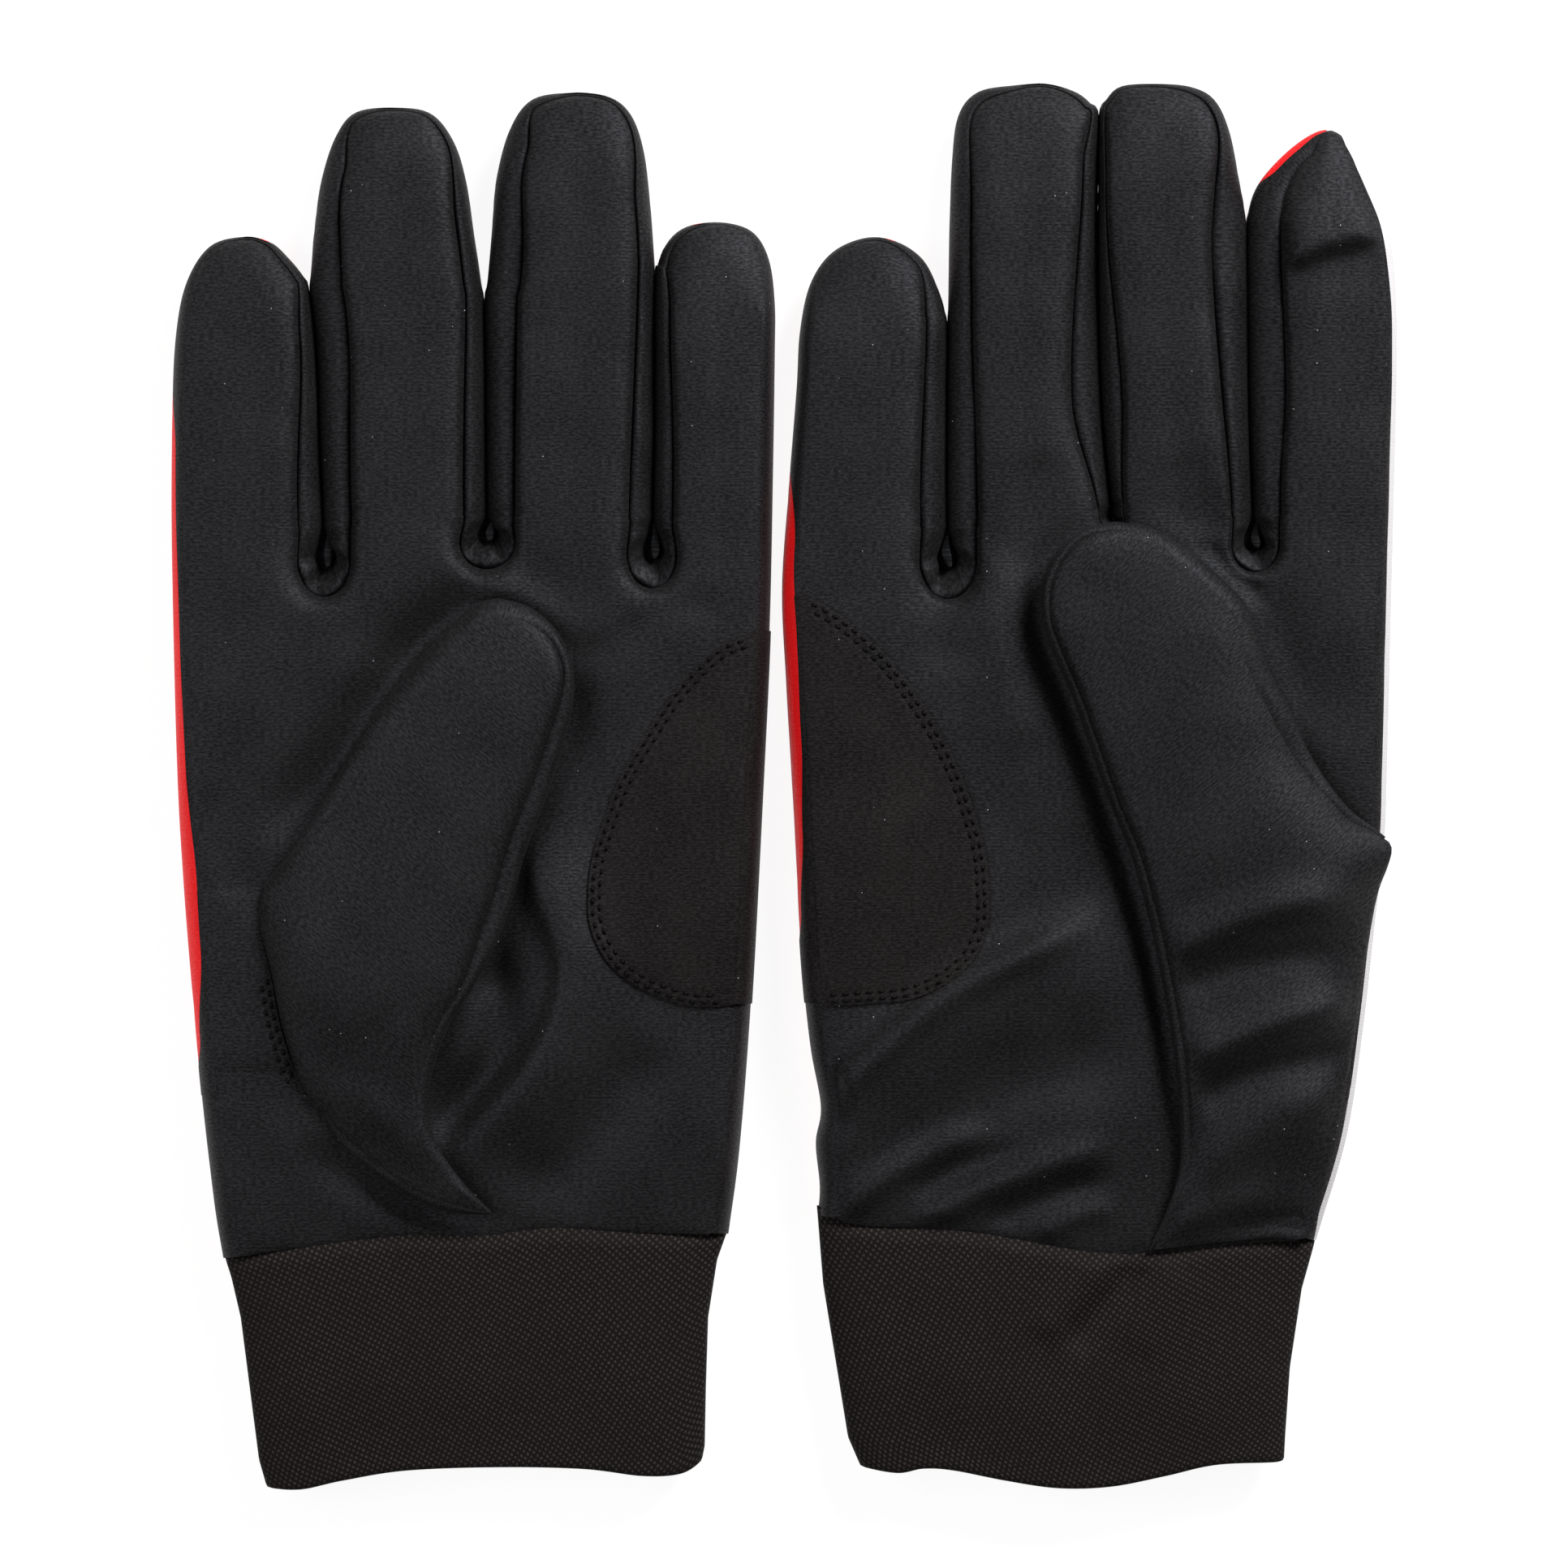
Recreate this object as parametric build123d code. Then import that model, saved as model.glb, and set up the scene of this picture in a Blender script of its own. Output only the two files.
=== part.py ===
"""A pair of thin stretch sports gloves lying flat, palms up, with both thumbs folded over the palms.

Millimetres, +Z up. X runs across the pair, from the left glove to the right one, and Y from the cuffs
towards the fingertips. The origin is under the middle of the pair, on the surface that it lies on.
Every soft piece is a plain plate or tube of its true outer size. One file is written for each piece.
"""

from build123d import *
import os

# Plies and heights, from the table up
HAND_HEIGHT = 14.0
PANEL = 1.5
SIDE_WALL = 1.2
PATCH = 0.9
GUSSET = 1.0
THUMB_LIFT = 1.3
THUMB_HEIGHT = 12.0
CUFF_HEIGHT = 12.0
CUFF_WALL = 1.6

# Lengths along the hand, measured from the middle of the pair
FINGER_HINGE_Y = 62.0
HINGE_GAP = 0.4
WRIST_Y = -80.0
CUFF_TOP_Y = -80.3
LINING_TOP_Y = 30.0

# Slots between the fingers, and the roundness of a fingertip as a share of its width
SLOT_WIDTH = 1.6
TIP_ROUND = 0.36
THUMB_ROUND = 7.0

# Inside pieces
LINING = 0.6
LINING_CLEARANCE = 0.2
ELASTIC_WIDTH = 10.0
ELASTIC = 0.8
ELASTIC_SETBACK = 2.0
LABEL_WIDTH = 18.0
LABEL_LENGTH = 26.0
LABEL = 0.4
LABEL_GAP = 0.1
LABEL_SETBACK = 4.0

# Twin rows of stitching along a heel patch, as shares of the way in from its curved edge
STITCH_ROWS = (0.03, 0.07)
STITCH_SHARE = 0.015
STITCH = 0.35

# The thumb hole, and how far its edge stays from the line that the thumb turns about
HOLE_LONG = 14.0
HOLE_SHORT = 9.0
HOLE_SETBACK = 12.0
THUMB_BACK_SETBACK = 24.0
THUMB_WALL_SETBACK = 3.0
THUMB_ROUND_FROM_Y = 15.0

# Longer than any piece, for faces that only cut
CUTTER = 400.0

# Each finger is (low x, high x, tip y), from the low x side of its glove to the high x side.
LEFT = {
    "name": "left",
    "fingers": {
        "index": (-107.4, -84.0, 96.5),
        "middle": (-83.2, -53.2, 119.0),
        "ring": (-52.4, -22.8, 122.0),
        "pinky": (-22.0, -1.2, 99.0),
    },
    "slots": ((-83.6, 33.0), (-52.8, 38.0), (-22.4, 34.5)),
    "low_side": ((-107.2, 62), (-105.2, 25), (-103.2, -16), (-102.7, -50), (-98.8, -80)),
    "high_side": ((-1.2, 62), (-2.1, 27), (-5.3, -38), (-9.0, -80)),
    "low_side_name": "index_side_panel",
    "high_side_name": "pinky_side_panel",
    "cuff_top": (-98.4, -9.4),
    "cuff_bottom": (-90.4, -14.6),
    "cuff_bottom_y": -124.0,
    "heel_edge": ((-2.9, 26.9), (-6.2, -38.6)),
    "heel_curve": ((-18.7, 17.0), (-31.7, -7.3), (-33.6, -25.0), (-25.3, -35.6)),
    "crotch_patch": (
        (-102.3, -18.2), (-92.9, -18.2), (-90.6, -33), (-85.5, -53), (-82.5, -59), (-100.5, -63),
    ),
    "gusset": (
        (-91.6, -19.6), (-89.4, -32.7), (-84.0, -54), (-72.4, -66),
        (-51.0, -75.5), (-61.7, -59), (-61.4, -51.5),
    ),
    "thumb_root": ((-91.7, -18.4), (-60.0, -52.0)),
    "thumb_side": ((-66.0, 20.0), (-54.0, 33.5), (-41.0, 31.0), (-35.5, 17.0), (-47.5, -22.0)),
}
RIGHT = {
    "name": "right",
    "fingers": {
        "pinky": (2.9, 28.2, 96.5),
        "ring": (29.0, 55.6, 124.0),
        "middle": (56.4, 81.6, 124.0),
        "index": (82.4, 107.4, 115.7),
    },
    "slots": ((28.6, 33.0), (56.0, 42.0), (82.0, 37.0)),
    "low_side": ((2.9, 62), (0.4, 30), (3.2, -23), (6.6, -57), (6.4, -80)),
    "high_side": ((107.4, 62), (106.2, -5), (104.8, -30), (95.0, -80)),
    "low_side_name": "pinky_side_panel",
    "high_side_name": "index_side_panel",
    "cuff_top": (6.4, 94.5),
    "cuff_bottom": (14.9, 88.7),
    "cuff_bottom_y": -123.4,
    "heel_edge": ((1.4, 33.0), (5.2, -39.2)),
    "heel_curve": ((19.6, 21.2), (31.3, 1.9), (36.5, -22.0), (27.0, -36.0)),
    "crotch_patch": ((99.0, -16), (104.6, -16), (103.6, -32), (99.8, -52), (94.6, -52)),
    "gusset": ((98.2, -18.4), (94.0, -52), (90.0, -72), (68.0, -72), (68.6, -41.2)),
    "thumb_root": ((106.5, -11.0), (67.6, -40.0)),
    "thumb_side": ((84.5, 24.0), (70.0, 43.5), (57.0, 47.0), (44.6, 36.5), (52.0, 12.0), (62.0, -13.0)),
}


def outline(points):
    """A flat face inside a closed run of straight edges."""
    return make_face(Polyline(*points, close=True))


def slab(face, low, high):
    """A ply of cloth: a face in the table's plane, filled from one height to another."""
    return extrude(Pos(0, 0, low) * face, amount=high - low, dir=(0, 0, 1))


def shifted(points, dx):
    return [(x + dx, y) for x, y in points]


def hand_face(glove, inset=0.0, top_y=FINGER_HINGE_Y):
    """The hand between its two sides, from the wrist to top_y."""
    low = shifted(glove["low_side"], inset)
    high = shifted(glove["high_side"], -inset)
    whole = outline(low + high[::-1])
    kept = Pos(0, (WRIST_Y + top_y) / 2) * Rectangle(CUTTER, top_y - WRIST_Y)
    return whole & kept


def slot_face(x, bottom_y, half_width):
    """The round-bottomed slot between two fingers, up to the line where they bend."""
    centre_y = bottom_y + SLOT_WIDTH / 2
    length = FINGER_HINGE_Y - centre_y
    straight = Pos(x, centre_y + length / 2) * Rectangle(2 * half_width, length)
    return straight + Pos(x, centre_y) * Circle(half_width)


def side_panel(points, dx):
    """The narrow wall that closes one side of the hand, dx thick towards its inside."""
    face = outline(list(points) + shifted(points, dx)[::-1])
    return slab(face, PANEL, HAND_HEIGHT - PANEL)


def fourchettes(glove):
    """The three U-shaped strips between the fingers."""
    walls = []
    for x, bottom_y in glove["slots"]:
        outside = slot_face(x, bottom_y, SLOT_WIDTH / 2 + SIDE_WALL)
        u_shape = outside - slot_face(x, bottom_y, SLOT_WIDTH / 2)
        walls += slab(u_shape, PANEL, HAND_HEIGHT - PANEL).solids()
    return Compound(walls)


def finger_face(low_x, high_x, low_y, tip_y):
    """A finger from low_y to its rounded tip."""
    face = Pos((low_x + high_x) / 2, (low_y + tip_y) / 2) * Rectangle(high_x - low_x, tip_y - low_y)
    corners = face.vertices().sort_by(Axis.Y)[-2:]
    return fillet(corners, TIP_ROUND * (high_x - low_x))


def finger(low_x, high_x, tip_y):
    """The part of a finger beyond its bend: front and back panels, and the strip round it."""
    low_y = FINGER_HINGE_Y + HINGE_GAP
    whole = finger_face(low_x, high_x, low_y, tip_y)
    hollow = finger_face(low_x + SIDE_WALL, high_x - SIDE_WALL, low_y - SIDE_WALL, tip_y - SIDE_WALL)
    return {
        "back": slab(whole, 0, PANEL),
        "sides": slab(whole - hollow, PANEL, HAND_HEIGHT - PANEL),
        "front": slab(whole, HAND_HEIGHT - PANEL, HAND_HEIGHT),
    }


def root_frame(glove):
    """The middle and direction of the line that the thumb turns about, and the way to the thumb's tip."""
    (x0, y0), (x1, y1) = glove["thumb_root"]
    along = Vector(x1 - x0, y1 - y0).normalized()
    across = along.rotate(Axis.Z, 90)
    middle = Vector((x0 + x1) / 2, (y0 + y1) / 2)
    tip = Vector(*glove["thumb_side"][2])
    if across.dot(tip - middle) < 0:
        across = across * -1
    return middle, along, across


def beside_root(glove, face, away):
    """A face laid along the thumb's root line, away from it by the given distance."""
    middle, along, across = root_frame(glove)
    centre = middle + across * away
    turn = Vector(1, 0).get_signed_angle(along, Vector(0, 0, 1))
    return Pos(centre.X, centre.Y) * Rot(0, 0, turn) * face


def thumb_hole(glove, grow=0.0):
    return beside_root(glove, Ellipse(HOLE_LONG + grow, HOLE_SHORT + grow), HOLE_SETBACK)


def thumb(glove):
    """The thumb, folded over the palm: front and back panels and the strip round its sides and tip."""
    low = HAND_HEIGHT + THUMB_LIFT
    high = low + THUMB_HEIGHT
    root = glove["thumb_root"]
    leaf = outline((root[0],) + glove["thumb_side"] + (root[1],))
    rounded = [v for v in leaf.vertices() if v.Y > THUMB_ROUND_FROM_Y]
    leaf = fillet(rounded, THUMB_ROUND)
    leaf = leaf - beside_root(glove, Rectangle(CUTTER, 2 * HINGE_GAP), 0)
    walls = leaf - offset(leaf, amount=-SIDE_WALL)
    walls = walls - beside_root(glove, Rectangle(CUTTER, 2 * THUMB_WALL_SETBACK), 0)
    back = leaf - beside_root(glove, Rectangle(CUTTER, 2 * THUMB_BACK_SETBACK), 0)
    return {
        "thumb_back": slab(back, low, low + SIDE_WALL),
        "thumb_sides": slab(walls, low + SIDE_WALL, high - SIDE_WALL),
        "thumb_front": slab(leaf, high - SIDE_WALL, high),
    }


def cuff_section(glove, y, inset):
    """The cuff's flattened round section at y, smaller all round by inset."""
    share = (CUFF_TOP_Y - y) / (CUFF_TOP_Y - glove["cuff_bottom_y"])
    low_x = glove["cuff_top"][0] + share * (glove["cuff_bottom"][0] - glove["cuff_top"][0])
    high_x = glove["cuff_top"][1] + share * (glove["cuff_bottom"][1] - glove["cuff_top"][1])
    centre = ((low_x + high_x) / 2, y, CUFF_HEIGHT / 2)
    plane = Plane(origin=centre, x_dir=(1, 0, 0), z_dir=(0, -1, 0))
    return plane * SlotOverall(high_x - low_x - 2 * inset, CUFF_HEIGHT - 2 * inset)


def cuff_tube(glove, top_y, bottom_y, outside, wall):
    """A stretch of the cuff, from an inset of outside to one of outside + wall."""
    inside = outside + wall
    solid = loft([cuff_section(glove, y, outside) for y in (top_y, bottom_y)])
    hollow = loft([cuff_section(glove, y, inside) for y in (top_y, bottom_y)])
    return solid - hollow


def heel_face(glove, inwards=0.0):
    """The D-shaped heel patch, its curved edge moved in by a share of its distance to the straight one."""
    start, end = glove["heel_edge"]
    middle = ((start[0] + end[0]) / 2, (start[1] + end[1]) / 2)
    curve = [start] + list(glove["heel_curve"]) + [end]
    moved = [tuple(m + (1 - inwards) * (p - m) for p, m in zip(point, middle)) for point in curve]
    return make_face([Spline(*moved), Line(moved[-1], moved[0])])


def patch_stitching(glove):
    """Twin rows of thread that stand on the heel patch beside its curved edge."""
    top = HAND_HEIGHT + PATCH
    rows = []
    for row in STITCH_ROWS:
        strip = heel_face(glove, row) - heel_face(glove, row + STITCH_SHARE)
        rows += slab(strip, top, top + STITCH).solids()
    return Compound(rows)


def hand_lining(glove):
    """The brushed lining, a sleeve just inside the hand that opens at the wrist and at the thumb hole."""
    out = SIDE_WALL + LINING_CLEARANCE
    low = PANEL + LINING_CLEARANCE
    high = HAND_HEIGHT - PANEL - LINING_CLEARANCE
    sleeve = slab(hand_face(glove, out, LINING_TOP_Y), low, high)
    hollow = slab(hand_face(glove, out + LINING, LINING_TOP_Y), low + LINING, high - LINING)
    opened = slab(thumb_hole(glove, LINING_CLEARANCE), high - 2 * LINING, high + LINING)
    return sleeve - hollow - opened


def care_label(glove):
    """A blank label that lies on the lower ply inside the cuff."""
    middle_x = (glove["cuff_top"][0] + glove["cuff_top"][1]) / 2
    low = CUFF_WALL + LINING_CLEARANCE + ELASTIC + LABEL_GAP
    middle_y = CUFF_TOP_Y - LABEL_SETBACK - LABEL_LENGTH / 2
    face = Pos(middle_x, middle_y) * Rectangle(LABEL_WIDTH, LABEL_LENGTH)
    return slab(face, low, low + LABEL)


def make_glove(glove):
    """Every piece of one glove, by name."""
    hand = hand_face(glove)
    for x, bottom_y in glove["slots"]:
        hand = hand - slot_face(x, bottom_y, SLOT_WIDTH / 2)
    top = HAND_HEIGHT
    cuff_low_y = glove["cuff_bottom_y"]
    elastic_y = CUFF_TOP_Y - ELASTIC_SETBACK
    elastic_inset = CUFF_WALL + LINING_CLEARANCE
    pieces = {
        "back_panel": slab(hand, 0, PANEL),
        "palm_panel": slab(hand - thumb_hole(glove), top - PANEL, top),
        glove["low_side_name"]: side_panel(glove["low_side"], SIDE_WALL),
        glove["high_side_name"]: side_panel(glove["high_side"], -SIDE_WALL),
        "fourchettes": fourchettes(glove),
        "heel_patch": slab(heel_face(glove), top, top + PATCH),
        "patch_stitching": patch_stitching(glove),
        "crotch_patch": slab(outline(glove["crotch_patch"]), top, top + PATCH),
        "thumb_gusset": slab(outline(glove["gusset"]), top, top + GUSSET),
        "hand_lining": hand_lining(glove),
        "cuff": cuff_tube(glove, CUFF_TOP_Y, cuff_low_y, 0, CUFF_WALL),
        "wrist_elastic": cuff_tube(glove, elastic_y, elastic_y - ELASTIC_WIDTH, elastic_inset, ELASTIC),
        "care_label": care_label(glove),
    }
    pieces.update(thumb(glove))
    for name, size in glove["fingers"].items():
        for layer, solid in finger(*size).items():
            pieces[name + "_" + layer] = solid
    return pieces


os.makedirs("parts", exist_ok=True)
for glove in (LEFT, RIGHT):
    for piece, solid in make_glove(glove).items():
        export_step(solid, os.path.join("parts", glove["name"] + "_" + piece + ".step"))
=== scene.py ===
"""A pair of stretch sports gloves lying palms up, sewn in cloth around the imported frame.

Lengths inside the script are millimetres in the frame's own axes: X across the pair, Y towards the
fingertips, Z up. Each glove is cut as a pattern. One outline runs round the flat glove; the front panel's
seam and the back panel's seam are that outline moved inwards, and a side strip joins the two seams.
"""

import math

import bpy
import numpy as np
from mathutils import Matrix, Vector, kdtree
from mathutils.geometry import delaunay_2d_cdt


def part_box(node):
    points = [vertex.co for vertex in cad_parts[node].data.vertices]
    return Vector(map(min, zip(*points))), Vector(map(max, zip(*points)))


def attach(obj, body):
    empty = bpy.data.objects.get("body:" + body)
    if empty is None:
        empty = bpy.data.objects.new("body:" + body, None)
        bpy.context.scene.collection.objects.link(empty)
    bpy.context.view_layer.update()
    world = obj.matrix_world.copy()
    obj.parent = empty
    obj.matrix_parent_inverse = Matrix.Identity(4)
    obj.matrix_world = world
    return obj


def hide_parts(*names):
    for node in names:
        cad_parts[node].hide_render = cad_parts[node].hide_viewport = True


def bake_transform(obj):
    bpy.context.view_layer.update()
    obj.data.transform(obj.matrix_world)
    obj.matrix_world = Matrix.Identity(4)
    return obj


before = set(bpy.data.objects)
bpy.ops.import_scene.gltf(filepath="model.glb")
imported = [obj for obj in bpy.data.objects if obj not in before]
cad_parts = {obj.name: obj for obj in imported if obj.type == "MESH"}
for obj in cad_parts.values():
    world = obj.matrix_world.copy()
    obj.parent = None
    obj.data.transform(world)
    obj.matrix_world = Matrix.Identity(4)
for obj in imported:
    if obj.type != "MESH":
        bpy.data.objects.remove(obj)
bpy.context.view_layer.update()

MM = 0.001
MM_PER_CM = 10.0
CLOTH = 0.7
PATCH_CLOTH = 0.5
SPLIT_Y = 48.0
BEND_END_Y = 74.0
BEND_Z = 14.0
THUMB_BEND_Z = 15.3
EYE_LENGTH = 8.0
SLOT_EYE = [(-0.9, 5.2), (-1.7, 2.9), (-1.3, 1), (0, 0.3), (1.3, 1), (1.7, 2.9), (0.9, 5.2)]
FLOOR_CLEARANCE = 0.12
THUMB_PRESSURE = 1.7
UNDER_ROOT = 0.9
CUFF_START, CUFF_END = -80.0, -122.0
INSIDE_GAP = 2.6
LABEL = (18.0, 26.0)
GRID_CELL = 0.8
SETTLING_ROUNDS = 240
RING_CLEARANCE = 0.86
ROW_SHARE = 0.87
BUMP_STRENGTH = 0.6
PROFILE = ("seam", "inset", "top", "middle", "bottom")


def box_mm(node):
    low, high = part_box(node)
    return np.array(low) / MM, np.array(high) / MM


# ---------------------------------------------------------------- curves and outlines


def ease(t):
    t = np.clip(t, 0.0, 1.0)
    return t * t * (3 - 2 * t)


def smooth_curve(points, per_span=16):
    """A Catmull-Rom curve through a few points."""
    p = np.array(points, float)
    p = np.vstack([2 * p[0] - p[1], p, 2 * p[-1] - p[-2]])
    t = np.linspace(0, 1, per_span, endpoint=False)[:, None]
    spans = []
    for a, b, c, d in zip(p, p[1:], p[2:], p[3:]):
        square, cube = (2 * a - 5 * b + 4 * c - d) * t**2, (3 * b - a - 3 * c + d) * t**3
        spans.append(0.5 * (2 * b + (c - a) * t + square + cube))
    return np.vstack([*spans, p[-2][None]])


def run_length(curve):
    return np.concatenate([[0.0], np.cumsum(np.linalg.norm(np.diff(curve, axis=0), axis=1))])


def resample(curve, step):
    s = run_length(curve)
    count = max(2, int(round(s[-1] / step)) + 1)
    at = np.linspace(0, s[-1], count)
    return np.column_stack([np.interp(at, s, curve[:, i]) for i in range(curve.shape[1])])


def side_normals(xy, closed=False):
    """Unit normals to the right of a 2-D curve's direction."""
    if closed:
        t = np.roll(xy, -1, axis=0) - np.roll(xy, 1, axis=0)
    else:
        t = np.gradient(xy, axis=0)
    t /= np.maximum(np.linalg.norm(t, axis=1), 1e-9)[:, None]
    return np.column_stack([t[:, 1], -t[:, 0]])


def steady(directions, reach=4):
    """Directions along a line with their sudden turns softened."""
    padded = np.vstack([directions[:1]] * reach + [directions] + [directions[-1:]] * reach)
    weights = np.hanning(2 * reach + 3)[1:-1]
    total = sum(w * padded[i : i + len(directions)] for i, w in enumerate(weights))
    return total / np.maximum(np.linalg.norm(total, axis=1), 1e-9)[:, None]


def along(xy, stations):
    """Values eased from station to station: each is (run length, value)."""
    s = run_length(xy)
    at = np.array([a for a, _ in stations])
    value = np.array([v for _, v in stations])
    order = np.argsort(at, kind="stable")
    at, value = at[order], value[order]
    i = np.clip(np.searchsorted(at, s, side="right") - 1, 0, len(at) - 2)
    t = (s - at[i]) / np.maximum(at[i + 1] - at[i], 1e-9)
    return value[i] + (value[i + 1] - value[i]) * ease(t)


def inside(xy, points):
    """Which points lie inside the closed outline."""
    x, y = points[:, 0], points[:, 1]
    found = np.zeros(len(points), bool)
    for (x0, y0), (x1, y1) in zip(xy, np.roll(xy, -1, axis=0)):
        if y0 == y1:
            continue
        crosses = (y0 > y) != (y1 > y)
        found ^= crosses & (x < (x1 - x0) * (y - y0) / (y1 - y0) + x0)
    return found


def nearest_distance(curve, points):
    """Distance from each point to a polyline, where along it (0 to 1), and on which side."""
    best = np.full(len(points), 1e9)
    where = np.zeros(len(points))
    side = np.zeros(len(points))
    s = run_length(curve)
    for i in range(len(curve) - 1):
        a, b = curve[i], curve[i + 1]
        d = b - a
        span = max(float(d @ d), 1e-12)
        t = np.clip(((points - a) @ d) / span, 0, 1)
        off = points - (a + t[:, None] * d)
        dist = np.hypot(off[:, 0], off[:, 1])
        closer = dist < best
        best[closer] = dist[closer]
        where[closer] = (s[i] + t[closer] * math.sqrt(span)) / s[-1]
        side[closer] = np.sign(d[0] * off[closer, 1] - d[1] * off[closer, 0])
    return best, where, side


# ---------------------------------------------------------------- cloth heights


def tree_of(points):
    """A search tree over points in the plane."""
    tree = kdtree.KDTree(len(points))
    for i, p in enumerate(points):
        tree.insert((p[0], p[1], 0), i)
    tree.balance()
    return tree


def relaxed(loop, loop_z, full, reach, points):
    """The height of cloth that leaves an outline at its height and settles at the full height inside."""
    cell = GRID_CELL
    low = loop.min(axis=0) - 3 * cell
    nx, ny = ((loop.max(axis=0) + 3 * cell - low) / cell).astype(int) + 2
    gx, gy = np.meshgrid(low[0] + cell * np.arange(nx), low[1] + cell * np.arange(ny), indexing="ij")
    flat = np.column_stack([gx.ravel(), gy.ravel()])
    mask = inside(loop, flat).reshape(gx.shape)
    full_z = full(flat[:, 0], flat[:, 1]).reshape(gx.shape)
    z = full_z.copy()
    near = mask.copy()
    for _ in range(2):
        grown = near.copy()
        grown[1:] |= near[:-1]
        grown[:-1] |= near[1:]
        grown[:, 1:] |= near[:, :-1]
        grown[:, :-1] |= near[:, 1:]
        near = grown
    tree = tree_of(loop)
    for i, j in zip(*np.nonzero(near & ~mask)):
        z[i, j] = loop_z[tree.find((gx[i, j], gy[i, j], 0))[1]]
    pull = (cell / reach) ** 2
    for _ in range(SETTLING_ROUNDS):
        around = z[:-2, 1:-1] + z[2:, 1:-1] + z[1:-1, :-2] + z[1:-1, 2:]
        new = (around + pull * full_z[1:-1, 1:-1]) / (4 + pull)
        z[1:-1, 1:-1] = np.where(mask[1:-1, 1:-1], new, z[1:-1, 1:-1])
    f = (points - low) / cell
    i = np.clip(f[:, 0].astype(int), 0, nx - 2)
    j = np.clip(f[:, 1].astype(int), 0, ny - 2)
    u, v = f[:, 0] - i, f[:, 1] - j
    near_row = z[i, j] * (1 - u) * (1 - v) + z[i + 1, j] * u * (1 - v)
    return near_row + z[i, j + 1] * (1 - u) * v + z[i + 1, j + 1] * u * v


def fold(points, path, height, width, fade=0.25):
    """A soft ridge, or a valley where height is negative. width is (left of the path, right of it)."""
    curve = smooth_curve(path, 6)
    distance, where, side = nearest_distance(curve, points)
    spread = np.where(side > 0, width[0], width[1])
    ends = ease(where / fade) * ease((1 - where) / fade)
    return height * np.exp(-((distance / spread) ** 2)) * ends


def puff(crease, depth):
    """How far a panel swells just inside its seam, leaving a groove along it."""
    return CREASE * crease * (1 - np.exp(-depth / 0.5)) * np.exp(-((depth / 6) ** 2))


def waves(points, seed, low=7.0, high=26.0, count=14):
    """Gentle unevenness, the same on each run."""
    draw = np.random.RandomState(seed)
    total = np.zeros(len(points))
    for _ in range(count):
        length, angle = draw.uniform(low, high), draw.uniform(0, math.pi)
        phase = draw.uniform(0, 2 * math.pi)
        ahead = points[:, 0] * math.cos(angle) + points[:, 1] * math.sin(angle)
        total += (length / high) * np.sin(2 * math.pi * ahead / length + phase)
    return total / math.sqrt(count)


# ---------------------------------------------------------------- meshes


def fill(loop, step, rings=(0.45, 1.0, 1.8, 2.8), lines=()):
    """Triangles that fill an outline: close rings by the seam, then an even grid."""
    count = len(loop)
    points = [tuple(p) for p in loop]
    edges = [(i, (i + 1) % count) for i in range(count)]
    dense = tree_of(loop)
    blocked = []
    for line in lines:
        first = len(points)
        points += [tuple(p) for p in line[1:-1]]
        blocked += [tuple(p) for p in line]
        ends = [dense.find((p[0], p[1], 0))[1] for p in (line[0], line[-1])]
        chain = [ends[0], *range(first, len(points)), ends[1]]
        edges += list(zip(chain, chain[1:]))
    block = tree_of(blocked or [(1e6, 1e6)])
    inward = side_normals(loop, closed=True)
    candidates = []
    for k, depth in enumerate(rings):
        moved = loop + inward * depth
        if k % 2:
            moved = (moved + np.roll(moved, -1, axis=0)) / 2
        candidates += [(p, RING_CLEARANCE * depth) for p in moved]
    low, high = loop.min(axis=0), loop.max(axis=0)
    gx = np.arange(low[0], high[0], step)
    for row, y in enumerate(np.arange(low[1], high[1], step * ROW_SHARE)):
        offset = step / 2 if row % 2 else 0.0
        candidates += [(np.array([x + offset, y]), rings[-1] + 0.55 * step) for x in gx]
    kept = inside(loop, np.array([p for p, _ in candidates]))
    for keep, (p, clear) in zip(kept, candidates):
        at = (p[0], p[1], 0)
        if keep and dense.find(at)[2] >= clear and block.find(at)[2] >= 0.5 * step:
            points.append((float(p[0]), float(p[1])))
    verts, _, faces, *_ = delaunay_2d_cdt([Vector(p) for p in points], edges, [], 0, 1e-5, False)
    xy = np.array([(v[0], v[1]) for v in verts])
    tri = np.array([f for f in faces if len(f) == 3])
    tri = tri[inside(loop, xy[tri].mean(axis=1))]
    a, b, c = xy[tri[:, 0]], xy[tri[:, 1]], xy[tri[:, 2]]
    area = (b[:, 0] - a[:, 0]) * (c[:, 1] - a[:, 1]) - (b[:, 1] - a[:, 1]) * (c[:, 0] - a[:, 0])
    tri[area < 0] = tri[area < 0][:, ::-1]
    return xy, tri[np.abs(area) > 1e-7]


def laid_cloth(loop, loop_z, crease, full, reach, step, lines=()):
    """A panel's points, faces and heights, and each point's depth inside its outline and its crease."""
    points, faces = fill(loop, step, lines=lines)
    z = relaxed(loop, loop_z, full, reach, points)
    crease = np.concatenate([crease, np.zeros(len(loop) - len(crease))])
    depth, raised = np.zeros(len(points)), np.zeros(len(points))
    tree = tree_of(loop)
    for i, p in enumerate(points):
        _, j, depth[i] = tree.find((p[0], p[1], 0))
        raised[i] = crease[j]
        if depth[i] < 1e-3:
            z[i] = loop_z[j]
    return points, faces, z, depth, raised


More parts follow.
